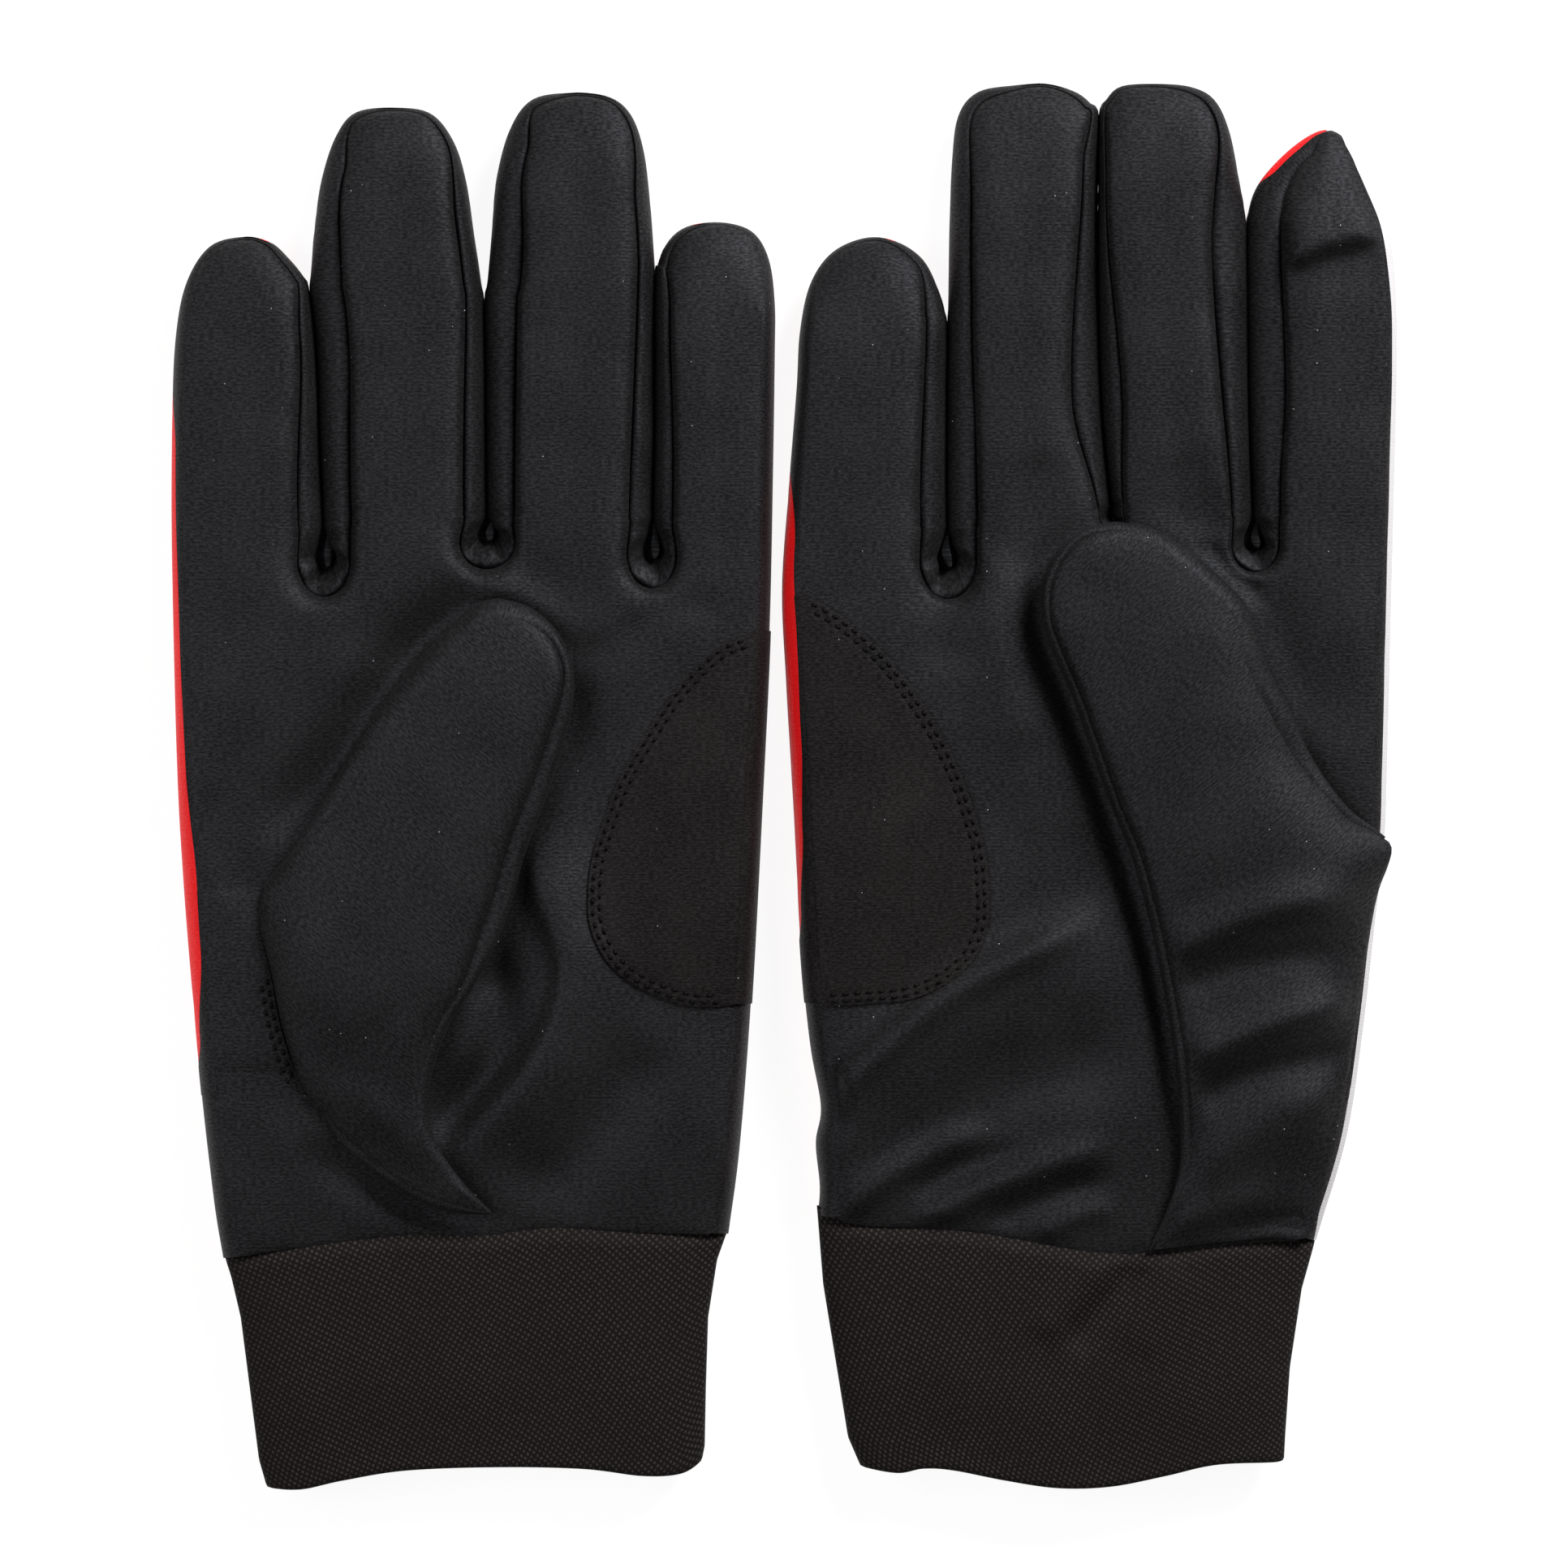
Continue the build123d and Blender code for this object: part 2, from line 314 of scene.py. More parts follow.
def vertex_normals(verts, faces):
    a, b, c = verts[faces[:, 0]], verts[faces[:, 1]], verts[faces[:, 2]]
    face = np.cross(b - a, c - a)
    if faces.shape[1] == 4:
        d = verts[faces[:, 3]]
        face = np.cross(c - a, d - b)
    total = np.zeros_like(verts)
    for k in range(faces.shape[1]):
        np.add.at(total, faces[:, k], face)
    return total / np.maximum(np.linalg.norm(total, axis=1), 1e-12)[:, None]


def rim_edges(faces):
    """Directed edges that only one face has."""
    seen = {}
    for k in range(faces.shape[1]):
        for a, b in zip(faces[:, k].tolist(), faces[:, (k + 1) % faces.shape[1]].tolist()):
            seen[(a, b)] = True
    return [(a, b) for a, b in seen if (b, a) not in seen]


def thicken(verts, faces, normals, uv, thickness=CLOTH):
    """A sheet given a second side, thickness below its outer one, and a rim round its edge.

    A part is (vertices, polygons, pattern coordinates, normals)."""
    count = len(verts)
    both = np.vstack([verts, verts - normals * thickness])
    polys = [tuple(f) for f in faces.tolist()]
    polys += [tuple(v + count for v in reversed(f)) for f in faces.tolist()]
    polys += [(b, a, a + count, b + count) for a, b in rim_edges(faces)]
    return both, polys, np.vstack([uv, uv]), np.vstack([normals, -normals])


def grid_faces(rows, columns, closed=False, tube=False):
    """Quads of a grid of rows by columns.

    closed joins the last column to the first, and tube also joins the last row to the first."""
    faces = []
    for i in range(rows if tube else rows - 1):
        m = (i + 1) % rows
        for j in range(columns if closed or tube else columns - 1):
            k = (j + 1) % columns
            faces.append((i * columns + j, m * columns + j, m * columns + k, i * columns + k))
    return np.array(faces)


def capped(rows, around):
    """The polygons of a small closed form: rings from one end to the other, with a cap at each end."""
    polys = [tuple(f) for f in grid_faces(rows, around, closed=True).tolist()]
    return polys + [tuple(range(around)), tuple(reversed(range((rows - 1) * around, rows * around)))]


def away(verts, middle):
    """Unit directions from a middle to each vertex."""
    out = verts - middle
    return out / np.maximum(np.linalg.norm(out, axis=1), 1e-6)[:, None]


def join(parts):
    """Several parts as one."""
    verts, polys, uvs, normals, base = [], [], [], [], 0
    for v, p, uv, n in parts:
        verts.append(v)
        uvs.append(uv)
        normals.append(n)
        polys += [tuple(int(i) + base for i in q) for q in p]
        base += len(v)
    return np.vstack(verts), polys, np.vstack(uvs), np.vstack(normals)


def piece(name, material, *parts):
    """A Blender object from millimetre parts, with its flat pattern as the UV map, in centimetres."""
    verts, polys, uv, normals = join(parts)
    mesh = bpy.data.meshes.new(name)
    mesh.from_pydata([tuple(v) for v in verts * MM], [], polys)
    layer = mesh.uv_layers.new(name="pattern")
    loop_vertex = np.zeros(len(mesh.loops), int)
    mesh.loops.foreach_get("vertex_index", loop_vertex)
    layer.data.foreach_set("uv", (uv[loop_vertex] / MM_PER_CM).astype(np.float32).ravel())
    mesh.polygons.foreach_set("use_smooth", [True] * len(mesh.polygons))
    mesh.normals_split_custom_set_from_vertices([tuple(n) for n in normals])
    mesh.update()
    obj = bpy.data.objects.new(name, mesh)
    bpy.context.scene.collection.objects.link(obj)
    mesh.materials.append(MATERIALS[material])
    return obj


def finish(obj, nodes):
    """The piece stands for CAD nodes, which are hidden."""
    if nodes:
        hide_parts(*nodes)
    return obj


def seat(body, name, slot, nodes, *parts, material=None):
    """A piece that rides on a body."""
    obj = piece(name, material or slot, *parts)
    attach(obj, body)
    return finish(obj, nodes)


def bend(hand, moving, start, end, name, slot, nodes, *parts):
    """A finger's or thumb's piece, made where it lies, with its transform baked into its mesh."""
    obj = piece(name, slot, *parts)
    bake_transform(obj)
    return finish(obj, nodes)


# ---------------------------------------------------------------- materials


def node(tree, kind, inputs, **settings):
    """A shader node with its settings. A socket among its inputs is linked, and a value is set."""
    made = tree.nodes.new("ShaderNode" + kind)
    for name, value in settings.items():
        setattr(made, name, value)
    for key, value in inputs.items():
        if isinstance(value, bpy.types.NodeSocket):
            tree.links.new(value, made.inputs[key])
        else:
            made.inputs[key].default_value = value
    return made


def new_material(name, colour, roughness, sheen=0.0, sheen_roughness=0.4, specular=0.3):
    """A material with its shader, and its pattern coordinates in centimetres."""
    material = bpy.data.materials.new(name)
    material.use_nodes = True
    tree = material.node_tree
    shader = tree.nodes["Principled BSDF"]
    shader.inputs["Base Color"].default_value = (*colour, 1)
    shader.inputs["Roughness"].default_value = roughness
    shader.inputs["Sheen Weight"].default_value = sheen
    shader.inputs["Sheen Roughness"].default_value = sheen_roughness
    shader.inputs["Specular IOR Level"].default_value = specular
    return material, tree, shader, node(tree, "UVMap", {}, uv_map="pattern").outputs["UV"]


def stretch(tree, coordinates, scale, turn=0.0):
    """Pattern coordinates scaled, and turned by some degrees."""
    inputs = {"Rotation": (0, 0, math.radians(turn)), "Scale": (*scale, 1), "Vector": coordinates}
    return node(tree, "Mapping", inputs).outputs["Vector"]


def noise(tree, coordinates, scale, detail=3.0, roughness=0.55):
    inputs = {"Scale": scale, "Detail": detail, "Roughness": roughness, "Vector": coordinates}
    return node(tree, "TexNoise", inputs).outputs["Fac"]


def rows_of_yarn(tree, coordinates, per_cm, direction="Y", wobble=1.2):
    """A wave across the cloth: knitted rows."""
    inputs = {"Scale": per_cm * 2 * math.pi / 20, "Distortion": wobble, "Detail": 2.0, "Detail Scale": 3.0}
    wave = node(tree, "TexWave", {**inputs, "Vector": coordinates}, bands_direction=direction)
    return wave.outputs["Fac"]


def ramp(tree, value, stops):
    """A colour ramp: stops are (place, grey or colour)."""
    made = node(tree, "ValToRGB", {"Fac": value})
    elements = made.color_ramp.elements
    for element, (place, colour) in zip(elements, stops):
        element.position = place
        element.color = (*colour, 1) if isinstance(colour, tuple) else (colour, colour, colour, 1)
    return made.outputs["Color"]


def maths(tree, operation, a, b):
    return node(tree, "Math", {0: a, 1: b}, operation=operation).outputs["Value"]


def mix(tree, factor, a, b):
    """Two colours mixed; each is a socket or a colour."""
    a, b = (c if isinstance(c, bpy.types.NodeSocket) else (*c, 1) for c in (a, b))
    return node(tree, "Mix", {0: factor, 6: a, 7: b}, data_type="RGBA").outputs[2]


def bump(tree, shader, height, distance):
    inputs = {"Strength": BUMP_STRENGTH, "Distance": distance, "Height": height}
    tree.links.new(node(tree, "Bump", inputs).outputs["Normal"], shader.inputs["Normal"])


def lint(tree, coordinates, per_cm, size, share):
    """Sparse specks of lint: 1 on a speck, 0 elsewhere. share is how many cells have one."""
    cell = node(tree, "TexVoronoi", {"Scale": per_cm, "Vector": coordinates})
    near = maths(tree, "LESS_THAN", cell.outputs["Distance"], size * per_cm)
    split = node(tree, "SeparateColor", {"Color": cell.outputs["Color"]})
    return maths(tree, "MULTIPLY", near, maths(tree, "LESS_THAN", split.outputs["Red"], share))


def knit_material(
    name, colour, rows=17.0, speck_share=0.11, sheen=0.01, fleece=0.0, grain=0.45, lustre=0.11, seam=False
):
    """Fine brushed knit: rows, a heather of lighter fibres, a soft nap and a few lint specks."""
    material, tree, shader, uv = new_material(name, colour, 0.52, sheen)
    shader.inputs["Sheen Tint"].default_value = (0.86, 0.9, 1.0, 1)
    shader.inputs["Specular Tint"].default_value = (0.84, 0.89, 1.0, 1)
    yarn = rows_of_yarn(tree, uv, rows)
    heather = noise(tree, stretch(tree, uv, (12, 26)), 1.0, detail=4, roughness=0.72)
    cloud = noise(tree, uv, 0.7)
    dark = tuple(c * (1 - grain * 1.1) for c in colour)
    light = tuple(min(1.0, c * (1 + grain * 1.7)) for c in colour)
    base = ramp(tree, heather, [(0.42, dark), (0.62, light)])
    base = mix(tree, 0.35, base, ramp(tree, cloud, [(0.35, dark), (0.7, light)]))
    if fleece:
        fluff = noise(tree, uv, 60.0, roughness=0.8)
        tuft = tuple(min(1.0, c * 5 + 0.02) for c in colour)
        base = mix(tree, ramp(tree, fluff, [(0.56, 0.0), (0.74, fleece)]), base, tuft)
    # Painted shade: with seam, the cloth is mixed towards black within about a millimetre of its front seam,
    # standing for the shadow in the seam's crease.
    if seam:
        across = node(tree, "SeparateXYZ", {"Vector": uv}).outputs["X"]
        near = ramp(tree, maths(tree, "MULTIPLY", across, 8.0), [(0.25, 0.9), (1.0, 0.0)])
        base = mix(tree, near, base, (0.001, 0.001, 0.001))
    speck = lint(tree, uv, 5.0, 0.010, speck_share)
    base = mix(tree, maths(tree, "MULTIPLY", speck, 0.55), base, (0.5, 0.52, 0.55))
    shine = ramp(tree, heather, [(0.42, lustre * 0.5), (0.62, lustre * 1.6)])
    tree.links.new(base, shader.inputs["Base Color"])
    tree.links.new(shine, shader.inputs["Specular IOR Level"])
    nap = noise(tree, uv, 45.0, roughness=0.7)
    bump(tree, shader, maths(tree, "ADD", maths(tree, "MULTIPLY", yarn, 0.16), nap), 0.00013)
    return material


def cuff_material(name, colour):
    """Bird's-eye rib knit: small raised dots in diagonal rows."""
    material, tree, shader, uv = new_material(name, colour, 0.8, 0.012, sheen_roughness=0.5, specular=0.08)
    a, b = (rows_of_yarn(tree, stretch(tree, uv, (1, 1), turn), 11.0, "X", 0.6) for turn in (32, -58))
    uneven = ramp(tree, noise(tree, uv, 9.0, detail=4, roughness=0.8), [(0.38, 0.35), (0.62, 1.0)])
    dots = maths(tree, "MULTIPLY", maths(tree, "MULTIPLY", a, b), uneven)
    fibre = noise(tree, uv, 60.0, detail=2, roughness=0.7)
    cloud = noise(tree, uv, 0.6, detail=2)
    light, dark = tuple(c * 2.6 for c in colour), tuple(c * 0.3 for c in colour)
    # Painted light and shade: the raised dots are coloured lighter and the hollows between them darker, in
    # step with the bump below.
    base = mix(tree, ramp(tree, dots, [(0.08, 0.0), (0.6, 1.0)]), dark, light)
    base = mix(tree, ramp(tree, cloud, [(0.35, 0.0), (0.7, 0.25)]), base, dark)
    base = mix(tree, ramp(tree, fibre, [(0.6, 0.0), (0.8, 0.3)]), base, tuple(c * 3 for c in colour))
    tree.links.new(base, shader.inputs["Base Color"])
    bump(tree, shader, maths(tree, "ADD", dots, maths(tree, "MULTIPLY", fibre, 0.25)), 0.00025)
    return material


def thread_material(name, colour):
    """Twisted sewing thread: a fine wave, and a slight lustre painted into its colour, lighter on each
    twist's crest and darker in its grooves, in step with its bump.
    """
    material, tree, shader, uv = new_material(name, colour, 0.6, 0.005, specular=0.08)
    twist = rows_of_yarn(tree, stretch(tree, uv, (1, 1), 35), 30.0, "X", 0.3)
    dark, light = tuple(c * 0.5 for c in colour), tuple(c * 1.5 for c in colour)
    tree.links.new(ramp(tree, twist, [(0.0, dark), (1.0, light)]), shader.inputs["Base Color"])
    bump(tree, shader, twist, 0.00006)
    return material


BLACK = (0.0078, 0.0071, 0.0074)
MATERIALS = {
    "softshell_black": knit_material("softshell knit", BLACK),
    # The fourchette knit carries painted seam shade (seam=True): near black beside its front seam.
    "fourchette_mesh": knit_material(
        "fourchette knit", (0.0064, 0.0058, 0.0060), rows=13, fleece=0.3, grain=0.5, seam=True
    ),
    "patch_suede": knit_material(
        "patch fabric", (0.0080, 0.0068, 0.0064), rows=20, sheen=0.008, lustre=0.06
    ),
    "lining_fleece": knit_material("lining fleece", (0.020, 0.020, 0.022), rows=10, fleece=0.5),
    "stretch_red": knit_material(
        "red stretch knit", (0.70, 0.008, 0.009), sheen=0.0, speck_share=0.0, grain=0.05
    ),
    "stretch_white": knit_material(
        "white stretch knit", (0.48, 0.465, 0.47), sheen=0.02, speck_share=0.0, grain=0.03
    ),
    "cuff_knit": cuff_material("cuff knit", (0.0121, 0.0096, 0.0089)),
    "elastic_tape": cuff_material("elastic tape", (0.03, 0.03, 0.03)),
    # The thread is coloured darker than the cloth: partly black thread, partly painted shade standing for
    # the dark needle holes along the stitching.
    "thread_black": thread_material("sewing thread", (0.0018, 0.0016, 0.0015)),
    "label_satin": thread_material("label satin", (0.62, 0.62, 0.60)),
}


# ---------------------------------------------------------------- the pattern of each glove

FINGERS = {"left": ("index", "middle", "ring", "pinky"), "right": ("pinky", "ring", "middle", "index")}
HAND_TOP = 13.0
FINGER_TOP = 12.6
WRIST_TOP = 11.2
SEAM_REACH = 3.4
THUMB_REACH = 6.5
OUTER_SEAM = 11.6
SLOT_SEAM = 9.7
BACK_COLOURS = {
    "hand": "stretch_red",
    "index": "stretch_red",
    "middle": "softshell_black",
    "ring": "softshell_black",
    "pinky": "stretch_red",
}

# Each side and tip is a few places on the flat glove's edge, taken clockwise from the wrist. A slot is the
# line between two fingers, from its mouth to its bottom. edge_colour is how far the back panel's colour
# shows inside the edge; below zero it turns out of sight. seam is how far the front panel's seam lies inside
# the edge. Both are {mark: [(millimetres past it, value)]}.
LEFT = {
    "low_side": [
        (-98.8, -83.8), (-100.4, -74), (-102.6, -55), (-104, -40), (-105.8, -18), (-107, 4), (-107.9, 40),
    ],
    "high_side": [(-1.2, 76), (-1.5, 56), (-2.1, 28), (-3.4, 0), (-5.4, -38), (-7.4, -64), (-9.4, -79.5)],
    "tips": [
        [
            (-107.8, 66), (-107.1, 80), (-105.2, 89), (-101.2, 95.2), (-95.4, 96.9), (-90.6, 96),
            (-87.2, 93), (-84.6, 89.8),
        ],
        [
            (-83.4, 89.8), (-82.7, 98), (-81.4, 107), (-78.8, 114.8), (-75.2, 119), (-68, 119.8),
            (-62, 118.6), (-58, 113.6), (-55.8, 106.5), (-54.4, 97), (-53.3, 89),
        ],
        [
            (-52.1, 89), (-51.3, 98), (-50.5, 107), (-48.2, 115.6), (-44.4, 121), (-38, 122.4),
            (-31, 121.8), (-26.8, 118.6), (-24.4, 112), (-23.2, 102), (-22.6, 93.4),
        ],
        [
            (-22.1, 91.4), (-20.9, 94.8), (-18.4, 97.8), (-14.6, 99.3), (-9.2, 99.3), (-4.8, 97.4),
            (-2.2, 92.6), (-1.2, 85),
        ],
    ],
    "slots": [
        [(-83.6, 87.5), (-82.5, 77), (-81.7, 60), (-80.7, 37.5)],
        [(-52.7, 84.5), (-52.4, 66), (-52.1, 42.5)],
        [(-22.5, 89.5), (-22.5, 64), (-22.9, 39)],
    ],
    "wrist": [
        (-9.4, -79.5), (-26, -79), (-41, -78.4), (-52, -79.7), (-63, -79.5), (-72.4, -80.2), (-88, -82.1),
        (-98.8, -83.8),
    ],
    "seam": {
        "wrist_low": [(0, 3.4)], "0_low": [(0, 3)],
        "0_apex": [(-24, 2.6), (-8, 1.2), (0, 0.7), (10, 1.4), (24, 2.4)], "0_high": [(0, 4.2)],
        "crotch_0": [(0, 4.8)], "1_low": [(0, 5.4)],
        "1_apex": [(-44, 6.4), (-18, 4), (-8, 1.6), (0, 0.8), (12, 1.2), (28, 2.8)], "1_high": [(0, 4)],
        "crotch_1": [(0, 4.8)], "2_low": [(0, 5.2)],
        "2_apex": [(-40, 6.2), (-18, 4.6), (-8, 1.8), (0, 0.8), (12, 1.2), (28, 2.7)], "2_high": [(0, 4.2)],
        "crotch_2": [(0, 4.8)], "3_low": [(0, 3.7)],
        "3_apex": [(-22, 2.9), (-8, 1.4), (0, 0.7), (12, 1.4), (30, 2.6)], "wrist_high": [(0, 3)],
    },
    "edge_colour": {
        "wrist_low": [(0, -1), (32, -0.3), (39, 1.1), (55, 2.7), (68, 2.9), (87, 2), (109, 1.6)],
        "0_low": [(10, 1.1), (28, -0.4)], "0_apex": [(-8, -1), (3, 0.25), (9, -1)], "2_apex": [(8, -1)],
        "3_apex": [(-20, 0.3), (-14, 0.3), (-9, -1), (-3, 0.2), (2, -1)], "wrist_high": [(0, -1)],
    },
    "side": {"index": "stretch_red", "pinky": "softshell_black"},
}
RIGHT = {
    "low_side": [
        (6.4, -76.2), (6.7, -71), (6, -63.4), (6.9, -57), (5, -46), (3.4, -30), (2.1, -5), (0.7, 18),
        (0, 34),
    ],
    "high_side": [
        (108.8, 74), (108.4, 56), (107.6, 24), (107.1, 4), (106.6, -10), (105, -24), (103, -42), (100, -62),
        (94.5, -80.7),
    ],
    "tips": [
        [
            (1.2, 52), (2.6, 70), (3.2, 80), (5, 88.4), (8.8, 94), (14.6, 96.7), (20, 96.2), (25, 92.8),
            (27.9, 87), (29, 83),
        ],
        [
            (29.5, 85), (29.7, 98), (30.1, 110), (31.2, 118.2), (34.6, 122.4), (41, 123.7), (47, 124),
            (52, 122.5), (54.7, 120.4),
        ],
        [
            (57.3, 121), (60, 123.5), (66, 124), (72.4, 123.4), (76.6, 121), (79.2, 115.4), (80.9, 107),
            (81.8, 102),
        ],
        [
            (82.7, 101.4), (83.7, 105), (86, 108.4), (90.4, 112.8), (95.2, 115.7), (98.6, 115.2),
            (101.8, 111.6), (104.9, 105), (107.4, 97.6), (108.6, 87),
        ],
    ],
    "slots": [
        [(29.3, 80.5), (29.1, 60), (29.3, 37.5)],
        [(56.1, 118.4), (56, 107), (55.9, 90), (56.6, 66), (58.5, 46.5)],
        [(82.3, 96), (82.6, 66), (83.5, 41)],
    ],
    "wrist": [
        (94.5, -80.7), (86, -80.7), (76.8, -81.5), (67.5, -82.7), (55.2, -82.7), (45.9, -81.2),
        (32.2, -78.9), (14.9, -77.8), (6.4, -76.2),
    ],
    "seam": {
        "wrist_low": [(0, 3)], "0_low": [(0, 2.8)], "0_apex": [(-24, 2.4), (0, 0.8), (10, 1.6), (22, 3.9)],
        "0_high": [(0, 4.8)], "crotch_0": [(0, 5.2)], "1_low": [(0, 5.4)],
        "1_apex": [(-34, 3.8), (-14, 2.4), (0, 0.8), (12, 1.6), (22, 3)], "1_high": [(-20, 5.4), (0, 2.6)],
        "crotch_1": [(0, 1.8)], "2_low": [(0, 2), (20, 3.6)],
        "2_apex": [(-24, 1.2), (0, 0.8), (14, 2), (38, 6.6)], "2_high": [(0, 4)], "crotch_2": [(0, 3.9)],
        "3_low": [(0, 4.8), (22, 6.4)], "3_apex": [(-20, 5.6), (-6, 3.4), (0, 0.9), (14, 2)],
        "3_high": [(0, 3)], "wrist_high": [(0, 3)],
    },
    "edge_colour": {
        "wrist_low": [(0, -1), (46, -0.3), (54, 0.6), (68, 1.5), (84, 2.2), (104, 2.5), (118, 1.9)],
        "0_low": [(12, -0.3)],
        "0_apex": [(-2, -1), (3, 0.25), (8, -1)],
        "2_apex": [(20, -1)],
        "3_apex": [(-24, 0.2), (-18, 0.9), (-7, 1.1), (-1, 0.6), (2, -0.2), (6, 1.6), (24, 1.7), (40, 1.3)],
        "wrist_high": [(-6, 1.3), (0, 0.6)],
    },
    "side": {"index": "stretch_white", "pinky": "stretch_red"},
}


def crossing(curve, y, last=False):
    """The index after which a polyline crosses a height, and the point there."""
    side = curve[:, 1] > y
    found = np.nonzero(side[1:] != side[:-1])[0]
    i = found[-1] if last else found[0]
    t = (y - curve[i, 1]) / (curve[i + 1, 1] - curve[i, 1])
    return i, curve[i] + t * (curve[i + 1] - curve[i])


def eye_length(slot):
    """How long the eye at a slot's bottom is: it stays on the hand, below the fingers' split."""
    return max(0.6, min(EYE_LENGTH, SPLIT_Y - 0.6 - slot[-1][1]))


def slot_eye(slot):
    """The outline of a slot's bottom, a small teardrop opening."""
    length = eye_length(slot)
    (x0, y0), (x1, y1) = slot[-2:]
    top = x1 + (x0 - x1) * length / (y0 - y1)
    tall, wide = length / EYE_LENGTH, min(1.0, length / 4)
    eye = [(x1 + x * wide + (top - x1) * y / EYE_LENGTH, y1 + y * tall) for x, y in SLOT_EYE]
    return resample(smooth_curve([(top, y1 + length), *eye, (top, y1 + length)]), 0.22)


def flank(slot):
    """One side of a slot, down to where its bottom opens into a small eye."""
    (x0, y0), (x1, y1) = slot[-2:]
    length = eye_length(slot)
    t = 1 - length / (y0 - y1)
    return [*slot[:-1], (x0 + (x1 - x0) * t, y1 + length)]


class Edge:
    """An outline with its marks, the directions into the shape, and values along it."""

    def __init__(self, curves, marks):
        points, self.marks = [], dict(marks)
        for mark, curve in curves:
            points.extend(curve[1 if points else 0 :])
            self.marks[mark] = len(points) - 1
        self.xy = np.array(points)
        self.run = run_length(self.xy)
        self.inward = side_normals(self.xy)

    def stations(self, entries):
        """Values along the outline, from {mark: [(millimetres past it, value)]}."""
        marked = [(self.run[self.marks[mark]], pairs) for mark, pairs in entries.items()]
        return along(self.xy, [(start + past, value) for start, pairs in marked for past, value in pairs])


class Glove(Edge):
    """One glove's outline with its marks, and the seam curves made from it."""

    def __init__(self, side, pattern):
        self.side, self.pattern, self.names = side, pattern, FINGERS[side]
        slots, curves = pattern["slots"], []
        for k, tip in enumerate(pattern["tips"]):
            rise = flank(slots[k - 1])[::-1] if k else pattern["low_side"]
            fall = flank(slots[k]) if k < 3 else pattern["high_side"]
            curve = smooth_curve([*rise, *tip, *fall])
            i, low = crossing(curve, SPLIT_Y)
            j, high = crossing(curve, SPLIT_Y, last=True)
            top = int(np.argmax(curve[:, 1]))
            after = "wrist_high" if k == 3 else f"flank_{k}"
            curves += [
                (f"{k}_low", resample(np.vstack([curve[: i + 1], low]), 1.0)),
                (f"{k}_apex", resample(np.vstack([low, curve[i + 1 : top + 1]]), 1.0)),
                (f"{k}_high", resample(np.vstack([curve[top : j + 1], high]), 1.0)),
                (after, resample(np.vstack([high, curve[j + 1 :]]), 1.0)),
            ]
            if k < 3:
                eye = slot_eye(slots[k])
                half = len(eye) // 2
                curves += [(f"crotch_{k}", eye[: half + 1]), (f"foot_{k + 1}", eye[half:])]
        super().__init__(curves, {"wrist_low": 0})
        self.inward = steady(self.inward)
        for k in range(3):
            rows, t = self.eye_rows(k)
            turn = math.pi * ease(t)
            self.inward[rows] = np.column_stack([-np.cos(turn), -np.sin(turn)])
        self.wrist = resample(smooth_curve(pattern["wrist"]), 1.3)

    def eye_rows(self, k):
        """The rows of a slot's eye, and how far along the eye each is."""
        rows = slice(self.marks[f"flank_{k}"], self.marks[f"foot_{k + 1}"] + 1)
        run = self.run[rows]
        return rows, (run - run[0]) / (run[-1] - run[0])

    def open_eyes(self):
        """How far the outline stands off the slots' lines in their eyes, as a share of half an eye."""
        share = np.zeros(len(self.xy))
        for k in range(3):
            rows, t = self.eye_rows(k)
            share[rows] = np.sin(math.pi * t) ** 0.6 * min(1.0, eye_length(self.pattern["slots"][k]) / 4)
        return share

    def near(self, mark, spread):
        """1 at a mark, fading to 0 away from it."""
        return np.exp(-(((self.run - self.run[self.marks[mark]]) / spread) ** 2))


def cross_section(seam, back, top, middle, bottom, v, roundness=0.8):
    """Inset and height across a side strip: v is 0 at the front seam, 0.5 at the edge, 1 at the back."""
    upper, lower = np.clip(1 - 2 * v, 0, 1), np.clip(2 * v - 1, 0, 1)
    swing, under = upper * math.pi / 2, lower * math.pi / 2
    inset = roundness * (1 - np.cos(swing)) + (1 - roundness) * upper
    rise = roundness * np.sin(swing) + (1 - roundness) * upper
    height = middle + (top - middle) * rise - (middle - bottom) * np.sin(under)
    return seam * inset + back * (1 - np.cos(under)), height


def edge_place(seam, shown):
    """The v of a colour seam that lies this far inside the edge, or below it where shown is negative."""
    v = np.linspace(0, 0.5, 80)
    inset, _ = cross_section(1.0, 0.0, 1.0, 0.0, 0.0, v)
    inside_edge = np.interp(np.clip(shown / seam, 0, 0.92), inset[::-1], v[::-1])
    return np.where(shown > 0, inside_edge, 0.5 - 0.12 * shown)


def strip(edge, profile, low_v, high_v, columns, offset=None):
    """A grid of strip points between two values of v, with its pattern coordinates."""
    seam, back, top, middle, bottom = (profile[name][:, None] for name in PROFILE)
    v = low_v[:, None] + (high_v - low_v)[:, None] * np.linspace(0, 1, columns) ** 1.5
    inset, z = cross_section(seam, back, top, middle, bottom, v)
    place = edge.xy[:, None, :] + edge.inward[:, None, :] * inset[..., None]
    grid = np.dstack([place, z])
    if offset is not None:
        grid = grid + offset(v)
    across = v * 1.5 * (np.mean(top) - np.mean(middle) + np.mean(seam))
    return grid, np.dstack([across, np.broadcast_to(edge.run[:, None], across.shape)])


def solid_strip(grid, uv, normals, marks, first, last):
    """The part of a strip between two marks, with thickness."""
    rows = slice(marks[first], marks[last] + 1)
    faces = grid_faces(*grid[rows].shape[:2])
    return thicken(grid[rows].reshape(-1, 3), faces, normals[rows].reshape(-1, 3), uv[rows].reshape(-1, 2))


def grid_normals(grid):
    return vertex_normals(grid.reshape(-1, 3), grid_faces(*grid.shape[:2])).reshape(grid.shape)


# ---------------------------------------------------------------- folds, in millimetres

